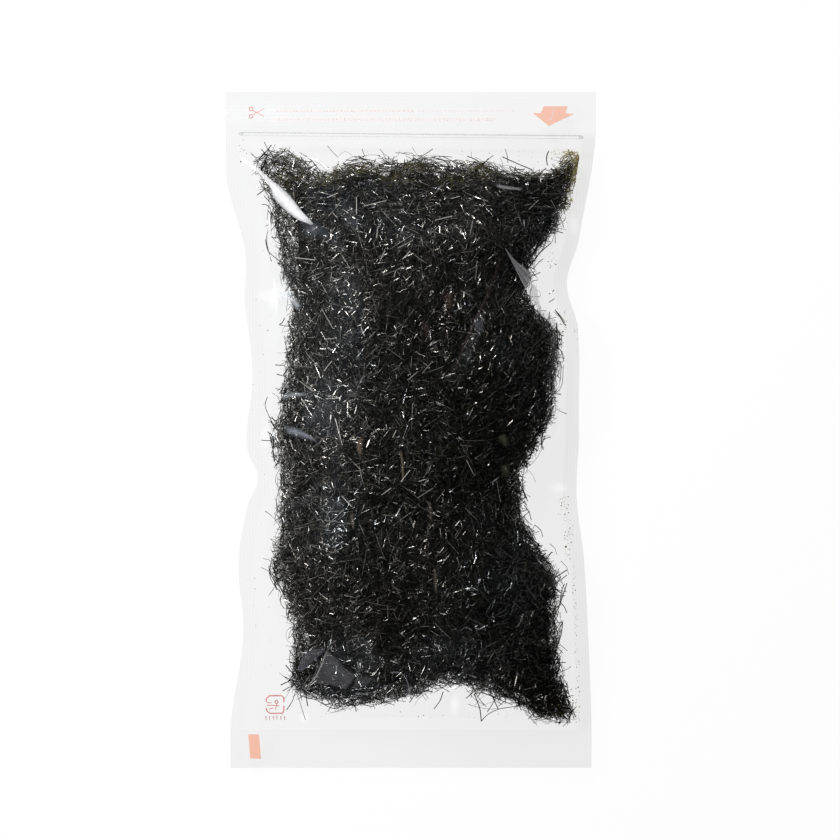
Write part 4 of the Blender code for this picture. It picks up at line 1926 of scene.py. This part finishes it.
def upward(form: PouchForm, x: np.ndarray, y: np.ndarray) -> np.ndarray:
    """Give the front film's upward direction at each point.

    Args:
        form: Sizes of the pouch.
        x: Positions across, in metres.
        y: Positions along, in metres.

    Returns:
        The direction at each position, of length 1.
    """
    reach = 0.5 * MM
    high = form.surfaces(x, y)[1]
    slope_x = (form.surfaces(x + reach, y)[1] - high) / reach
    slope_y = (form.surfaces(x, y + reach)[1] - high) / reach
    normal = np.stack([-slope_x, -slope_y, np.ones_like(slope_x)], axis=-1)
    return normal / np.linalg.norm(normal, axis=-1, keepdims=True)


# Where light shining through thin shreds is painted as olive, in millimetres: middle, half sizes, turn and
# strength.
OLIVE_GLOW_SPOTS: Table = (
    (-31.3, 94.0, 4.9, 1.9, 10, 0.9), (-17.2, 98.1, 6.8, 1.9, 8, 0.8), (-5.9, 94.6, 5.3, 1.7, -12, 0.9),
    (2.3, 98.6, 3.4, 1.7, 0, 0.7), (25.5, 97.4, 4.2, 3.0, 0, 0.6), (-44.8, 102.7, 4.4, 3.4, 0, 0.5),
    (-47.0, 96.5, 7.0, 5.0, 0, 0.35), (48.4, 96.8, 5.3, 2.3, 0, 0.4), (14.6, 93.5, 6.1, 1.5, 0, 0.4),
)

# The corner and the tip where light shining through thin shreds is painted golden and olive, in millimetres:
# middle and half sizes.
GOLD_GLOW_CORNER = (60, 102, 5, 4)
OLIVE_TIP = (59, -106, 6, 5)

# Share of pale brown in the usual shred, its spread and the most of it.
PALE_USUAL, PALE_SPREAD, PALE_MOST = 0.0095, 1.55, 0.55

# Painted shade, where few shreds are pale, in millimetres: middle, half sizes and loss.
PAINTED_SHADE_SPOTS: Table = ((38, 22, 15, 18, 0.6), (-26, -92, 16, 8, 0.55))


def tint_shreds(
    form: PouchForm, bed: bpy.types.Object, rng: np.random.Generator, x: np.ndarray, y: np.ndarray
) -> None:
    """Paint each shred's olive share, sheen and paleness, with painted light in the olive, gold and paleness
    by place.

    Args:
        form: Sizes of the pouch.
        bed: Piece that joins as many shreds as there are places.
        rng: Seeded source of random numbers.
        x: Middle of each shred across.
        y: Middle of each shred along.
    """
    count = len(x)
    # Painted glow: light shining through thin shreds, as olive in spots, in the corner and at the tip, and
    # gold in the corner and at the right edge.
    spot = np.zeros(count)
    for *place, strength in OLIVE_GLOW_SPOTS:
        spot = np.maximum(spot, strength * np.exp(-oval(x, y, *place)))
    corner = np.exp(-oval(x, y, *GOLD_GLOW_CORNER))
    edge = smooth((x - 55 * MM) / (4 * MM)) * smooth((y - 78 * MM) / (10 * MM))
    tip = np.exp(-oval(x, y, *OLIVE_TIP))
    olive = rng.beta(1.1, 9, count) * 0.12
    olive = olive + (spot + 0.3 * corner + 0.2 * edge + 0.15 * tip) * rng.uniform(0.05, 1, count) ** 1.5
    warmth = np.clip(0.6 + 0.25 * waves(x, y, 60 * MM, 42) + rng.normal(0, 0.3, count), 0, 1)
    # Painted light and shade: shreds are paler towards the left and the head, where more light falls, darker
    # in the shade spots, and darker at the rim.
    shade = 1.3 * np.exp(-x / (42 * MM)) + 1.1 * smooth((y - 35 * MM) / (40 * MM))
    for *place, less in PAINTED_SHADE_SPOTS:
        shade = shade * (1 - less * np.exp(-oval(x, y, *place)))
    shade = np.clip(shade, 0.2, 2.8) * (0.3 + 0.7 * smooth(form.inside(x, y) / (3 * MM)))
    pale = rng.lognormal(math.log(PALE_USUAL), PALE_SPREAD, count) * shade
    gold = np.clip(corner + edge, 0, 1)
    values = np.stack([np.clip(olive, 0, 1), warmth, np.clip(pale, 0, PALE_MOST), gold], axis=1)
    paint(bed, "tint", np.repeat(values, len(bed.data.vertices) // count, axis=0))


@dataclass
class FreeStrands:
    """Single shreds, each at its own place: stray ones past the edge and pale ones on top, whose paleness
    paints glints.
    """

    form: PouchForm
    name: str
    paths: tuple[Path, ...]
    on_top: bool = False
    segments: int = 8
    width: float = 0.31 * MM
    thickness: float = 0.10 * MM
    clearance: float = 0.3 * MM
    seed: int = 9

    def build(self) -> bpy.types.Object:
        """Make all the strands as one mesh.

        Returns:
            The strands.
        """
        rng = np.random.default_rng(self.seed)
        lines = []
        for path in self.paths:
            corners = np.array(path) * MM
            steps = np.linalg.norm(np.diff(corners, axis=0), axis=1)
            at = np.concatenate([[0], np.cumsum(steps)])
            share = np.linspace(0, at[-1], self.segments + 1)
            plain = np.stack([np.interp(share, at, corners[:, i]) for i in (0, 1)], axis=-1)
            eased = plain.copy()
            eased[1:-1] = (plain[:-2] + 2 * plain[1:-1] + plain[2:]) / 4
            lines.append(eased)
        flat = np.array(lines)
        x, y = flat[..., 0], flat[..., 1]
        low, high = self.form.surfaces(x, y)
        level = rng.uniform(0.55, 0.85, len(flat))[:, None]
        under_film = high - self.clearance
        between = np.clip(low + (high - low) * level, low + self.clearance, under_film)
        z = under_film if self.on_top else between
        roll = rng.normal(0, 0.6, len(flat))[:, None] * np.ones(self.segments + 1)
        width = self.width * rng.uniform(0.8, 1.25, len(flat))
        shred = Shred(self.segments)
        points = np.stack([x, y, z], axis=-1)
        piece = shred.bend(self.name, points, upward(self.form, x, y), width, roll, self.thickness)
        if self.on_top:
            # Painted glints: the shreds on top are pale.
            count = len(flat)
            warmth, pale, none = rng.uniform(0.3, 1, count), rng.uniform(0.75, 1, count), np.zeros(count)
            values = np.column_stack([none, warmth, pale, none])
            paint(piece, "tint", np.repeat(values, len(piece.data.vertices) // count, axis=0))
        else:
            tint_shreds(self.form, piece, rng, x.mean(axis=1), y.mean(axis=1))
        return piece


@dataclass
class DustScatter:
    """Crumbs of nori that cling to the film outside the packing."""

    form: PouchForm
    seed: int = 71
    flatness: float = 0.45
    golden_from: Range = (50 * MM, 84 * MM)
    # Where crumbs lie, in millimetres: x from and to, y from and to, how many and their size.
    areas: tuple[tuple[float, float, float, float, int, float], ...] = (
        (55.3, 59.5, -33.1, -24.8, 34, 0.17), (57.6, 61.0, -49.0, -33.9, 70, 0.14),
        (60.8, 62.0, -64.1, -49.7, 26, 0.12), (61.6, 62.7, -86.7, -64.1, 34, 0.12),
        (62.4, 63.9, -111.6, -86.7, 40, 0.13), (61.5, 63.7, 92.3, 103.8, 40, 0.13),
        (61.3, 63.0, 32.0, 40.0, 14, 0.12), (53.8, 58.7, 36.1, 45.9, 60, 0.13),
        (51.5, 54.6, 60.6, 67.6, 26, 0.15), (57.0, 60.0, 71.5, 85.0, 8, 0.13),
        (57.2, 63.4, 101.6, 105.4, 190, 0.18), (51.0, 57.2, 102.8, 106.0, 26, 0.14),
        (60.8, 62.8, 98.0, 103.0, 90, 0.17), (60.0, 62.2, 92.0, 98.0, 90, 0.17),
        (57.5, 61.0, 85.5, 92.0, 80, 0.17), (55.0, 63.0, -109.0, -97.0, 60, 0.20),
        (-66.0, -61.5, 101.0, 110.0, 10, 0.18), (-30.0, 60.0, 100.0, 106.0, 60, 0.16),
        (-52.0, 52.0, -109.0, -103.0, 40, 0.15), (-60.0, -52.0, -95.0, 90.0, 36, 0.14),
    )

    def build(self) -> bpy.types.Object:
        """Make all crumbs as one piece from one modelled crumb.

        Returns:
            The crumbs.
        """
        clear_selection()
        bpy.ops.mesh.primitive_ico_sphere_add(subdivisions=1, radius=1)
        template, faces = take_template(bpy.context.active_object)
        rng = np.random.default_rng(self.seed)
        rows = []
        for x0, x1, y0, y1, count, size in self.areas:
            x, y = rng.uniform(x0, x1, count) * MM, rng.uniform(y0, y1, count) * MM
            rows.append(np.column_stack([x, y, size * MM * rng.lognormal(0, 0.35, count)]))
        x, y, size = np.concatenate(rows).T
        low, high = self.form.surfaces(x, y)
        z = low + (high - low) * rng.uniform(0.35, 0.8, len(x))
        scale = size[:, None] * rng.uniform(0.45, 1.25, (len(x), 3)) * (1, 1, self.flatness)
        turn = rng.uniform(0, np.pi, len(x))
        px, py, pz = (template[None] * scale[:, None, :]).transpose(2, 0, 1)
        cos, sin = np.cos(turn)[:, None], np.sin(turn)[:, None]
        turned = (px * cos - py * sin, px * sin + py * cos, pz)
        places = np.stack([part + at[:, None] for part, at in zip(turned, (x, y, z))], axis=-1)
        piece = copy_template("nori_dust", places, faces)
        from_x, from_y = self.golden_from
        golden = smooth((x - from_x) / (5 * MM)) * smooth((y - from_y) / (3 * MM))
        shade = rng.uniform(0.15, 0.9, len(x)) * (1 - golden) + golden * rng.uniform(0.4, 1, len(x))
        gold = rng.uniform(0, 0.6, len(x)) * (1 - golden) + golden * rng.uniform(0.5, 1, len(x))
        values = np.stack([shade, shade, 0 * shade, gold], axis=1)
        paint(piece, "tint", np.repeat(values, len(template), axis=0))
        return piece


@dataclass(frozen=True)
class Softbox:
    """One plain square light, aimed at the pouch."""

    name: str
    azimuth: float
    elevation: float
    distance: float
    side: float
    power: float

    def build(self) -> bpy.types.Object:
        """Add the light at its place.

        Returns:
            The light.
        """
        a, e = math.radians(self.azimuth), math.radians(self.elevation)
        data = bpy.data.lights.new(self.name, "AREA")
        data.shape = "SQUARE"
        data.size = self.side
        data.energy = self.power
        lamp = bpy.data.objects.new(self.name, data)
        lamp.location = (
            self.distance * math.cos(e) * math.cos(a),
            self.distance * math.cos(e) * math.sin(a),
            self.distance * math.sin(e),
        )
        lamp.rotation_euler = (-lamp.location).to_track_quat("-Z", "Y").to_euler()
        bpy.context.scene.collection.objects.link(lamp)
        return lamp


@dataclass
class Studio:
    """Pale floor, soft lights and a camera that looks straight down."""

    lens: float = 120.0
    sensor: float = 36.0
    frame_width: float = 317.9 * MM
    centre: tuple[float, float] = (3.4 * MM, 3.8 * MM)
    focus_height: float = 5 * MM
    floor_side: float = 14.0
    floor_drop: float = 0.3 * MM
    floor_glow: float = 0.94
    sky: tuple[float, float, float] = (0.9, 0.92, 1.0)
    sky_strength: float = 0.012

    def floor(self) -> None:
        """Add the pale floor, which glows a little like a light table."""
        clear_selection()
        bpy.ops.mesh.primitive_plane_add(size=self.floor_side, location=(0, 0, -self.floor_drop))
        floor = bpy.context.active_object
        floor.name = "floor"
        g = Graph("pale_floor")
        g.put(
            Base_Color=(0.08, 0.08, 0.082, 1),
            Roughness=0.9,
            Specular_IOR_Level=0.0,
            Emission_Color=(1, 1, 1, 1),
            Emission_Strength=self.floor_glow,
        )
        floor.data.materials.append(g.material)

    def lights(self) -> None:
        """Add the soft lights and the dim surroundings."""
        for box in (
            Softbox("key_left", 165, 42, 0.6, 0.076, 1.80),
            Softbox("key_top", 105, 42, 0.6, 0.076, 2.05),
            Softbox("fill_right", 12, 42, 1.1, 0.12, 0.7),
            Softbox("fill_low", 250, 24, 1.1, 0.13, 2.5),
        ):
            box.build()
        world = bpy.data.worlds.new("studio")
        world.use_nodes = True
        sky = world.node_tree.nodes["Background"]
        sky.inputs["Color"].default_value = (*self.sky, 1)
        sky.inputs["Strength"].default_value = self.sky_strength
        bpy.context.scene.world = world

    def camera(self) -> None:
        """Add the camera above the pouch."""
        data = bpy.data.cameras.new("camera")
        data.lens = self.lens
        data.sensor_width = self.sensor
        camera = bpy.data.objects.new("camera", data)
        reach = self.frame_width * self.lens / self.sensor
        camera.location = (*self.centre, self.focus_height + reach)
        camera.rotation_euler = (0, 0, 0)
        bpy.context.scene.collection.objects.link(camera)
        bpy.context.scene.camera = camera

    def build(self) -> None:
        """Set the whole studio."""
        self.floor()
        self.lights()
        self.camera()
        scene = bpy.context.scene
        scene.view_settings.view_transform = "Standard"
        scene.view_settings.look = "None"
        scene.view_settings.exposure = 0.0


@dataclass
class NoriPouch:
    """The whole pouch: film, folds, zip and print around the packing."""

    form: PouchForm

    def fill(self) -> None:
        """Build the packing and its crumbs."""
        nori = NoriFinish().build()
        core = NoriFinish(name="nori_core", roughness=0.45, level=0.1).build()
        dress(NoriCore(self.form).build(), core)
        beds = (
            ShredBed(
                self.form, "nori_top", Side.FRONT, 2200, 4 * MM, 12 * MM, 4, 107, width=0.18 * MM,
                top=0.32 * MM, bury=0.15 * MM, lean=0.03, curl=0.012,
            ),
            ShredBed(
                self.form, "nori_bits", Side.FRONT, 7000, 1.2 * MM, 3.6 * MM, 1, 108, width=0.17 * MM,
                top=0.34 * MM, bury=0.25 * MM,
            ),
            ShredBed(self.form, "nori_long", Side.FRONT, 9800, 3.5 * MM, 13 * MM, 3, 101, width=0.20 * MM),
            ShredBed(
                self.form, "nori_middle", Side.FRONT, 14000, 2.2 * MM, 7 * MM, 2, 105, width=0.19 * MM,
                bury=0.8 * MM,
            ),
            ShredBed(
                self.form, "nori_short", Side.FRONT, 24000, 1.0 * MM, 4.2 * MM, 1, 102, width=0.18 * MM,
                bury=0.7 * MM,
            ),
            ShredBed(self.form, "nori_fringe", Side.FRINGE, 3600, 3.5 * MM, 14 * MM, 5, 103, curl=0.10),
            ShredBed(self.form, "nori_loose", Side.LOOSE, 300, 5 * MM, 15 * MM, 5, 106, curl=0.12),
            ShredBed(self.form, "nori_back", Side.BACK, 9000, 4 * MM, 14 * MM, 2, 104, width=0.45 * MM),
        )
        for bed in beds:
            dress(bed.build(), nori, rounded=False)
        # Painted glints: pale shreds that lie right under the film.
        glint_paths = tuple(((x0, y0), (x1, y1)) for x0, y0, x1, y1 in PAINTED_GLINT_STRANDS)
        pale = FreeStrands(self.form, "nori_painted_glints", glint_paths, True, width=0.23 * MM)
        for strands in (FreeStrands(self.form, "nori_strands", STRANDS), pale):
            dress(strands.build(), nori, rounded=False)
        crumbs = NoriFinish(
            "nori_dust", (0.006, 0.008, 0.003), (0.13, 0.145, 0.025), (0.92, 0.80, 0.24), index=1.1,
            level=0.2, sheer=0.6,
        ).build()
        dress(DustScatter(self.form).build(), crumbs, rounded=False)

    def wrap(self) -> None:
        """Build the film with its folds and zip."""
        film = PouchFilm(self.form)
        clear = FilmFinish().build()
        dress(film.build(), clear)
        dress(FilmFolds(self.form, film).build(), FoldHighlightFinish().build())
        rail = InkFinish("zip_rail", (0.36, 0.37, 0.39), 0.22).build()
        dress(PressZip(self.form).build(), rail)

    def label(self) -> None:
        """Build the print on the film."""
        flat = FlatPrint(self.form, PouchFilm(self.form))
        inked = (
            (flat.arrow, InkFinish("ink_orange", (0.98, 0.54, 0.41))),
            (flat.arrow_marks, InkFinish("ink_pale", (0.95, 0.90, 0.86), 0.7)),
            # The colour bar has a painted glow.
            (flat.colour_bar, InkFinish("ink_bar", (0.98, 0.56, 0.43), glow=0.18)),
            (flat.scissors, InkFinish("ink_rust", (0.70, 0.24, 0.16), 0.62)),
            (flat.cut_line, InkFinish("ink_faint", (0.90, 0.42, 0.36), 0.36)),
            (flat.mark, InkFinish("ink_red", (0.88, 0.30, 0.28), 0.62)),
        )
        for part, ink in inked:
            dress(part(), ink.build(), rounded=False)

    def build(self) -> None:
        """Build every piece."""
        self.fill()
        self.wrap()
        self.label()


def main() -> None:
    """Build the pouch piece by piece, then the studio."""
    logging.basicConfig(level=logging.INFO, format="%(message)s")
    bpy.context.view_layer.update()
    NoriPouch(PouchForm()).build()
    Studio().build()


if __name__ == "__main__":
    main()
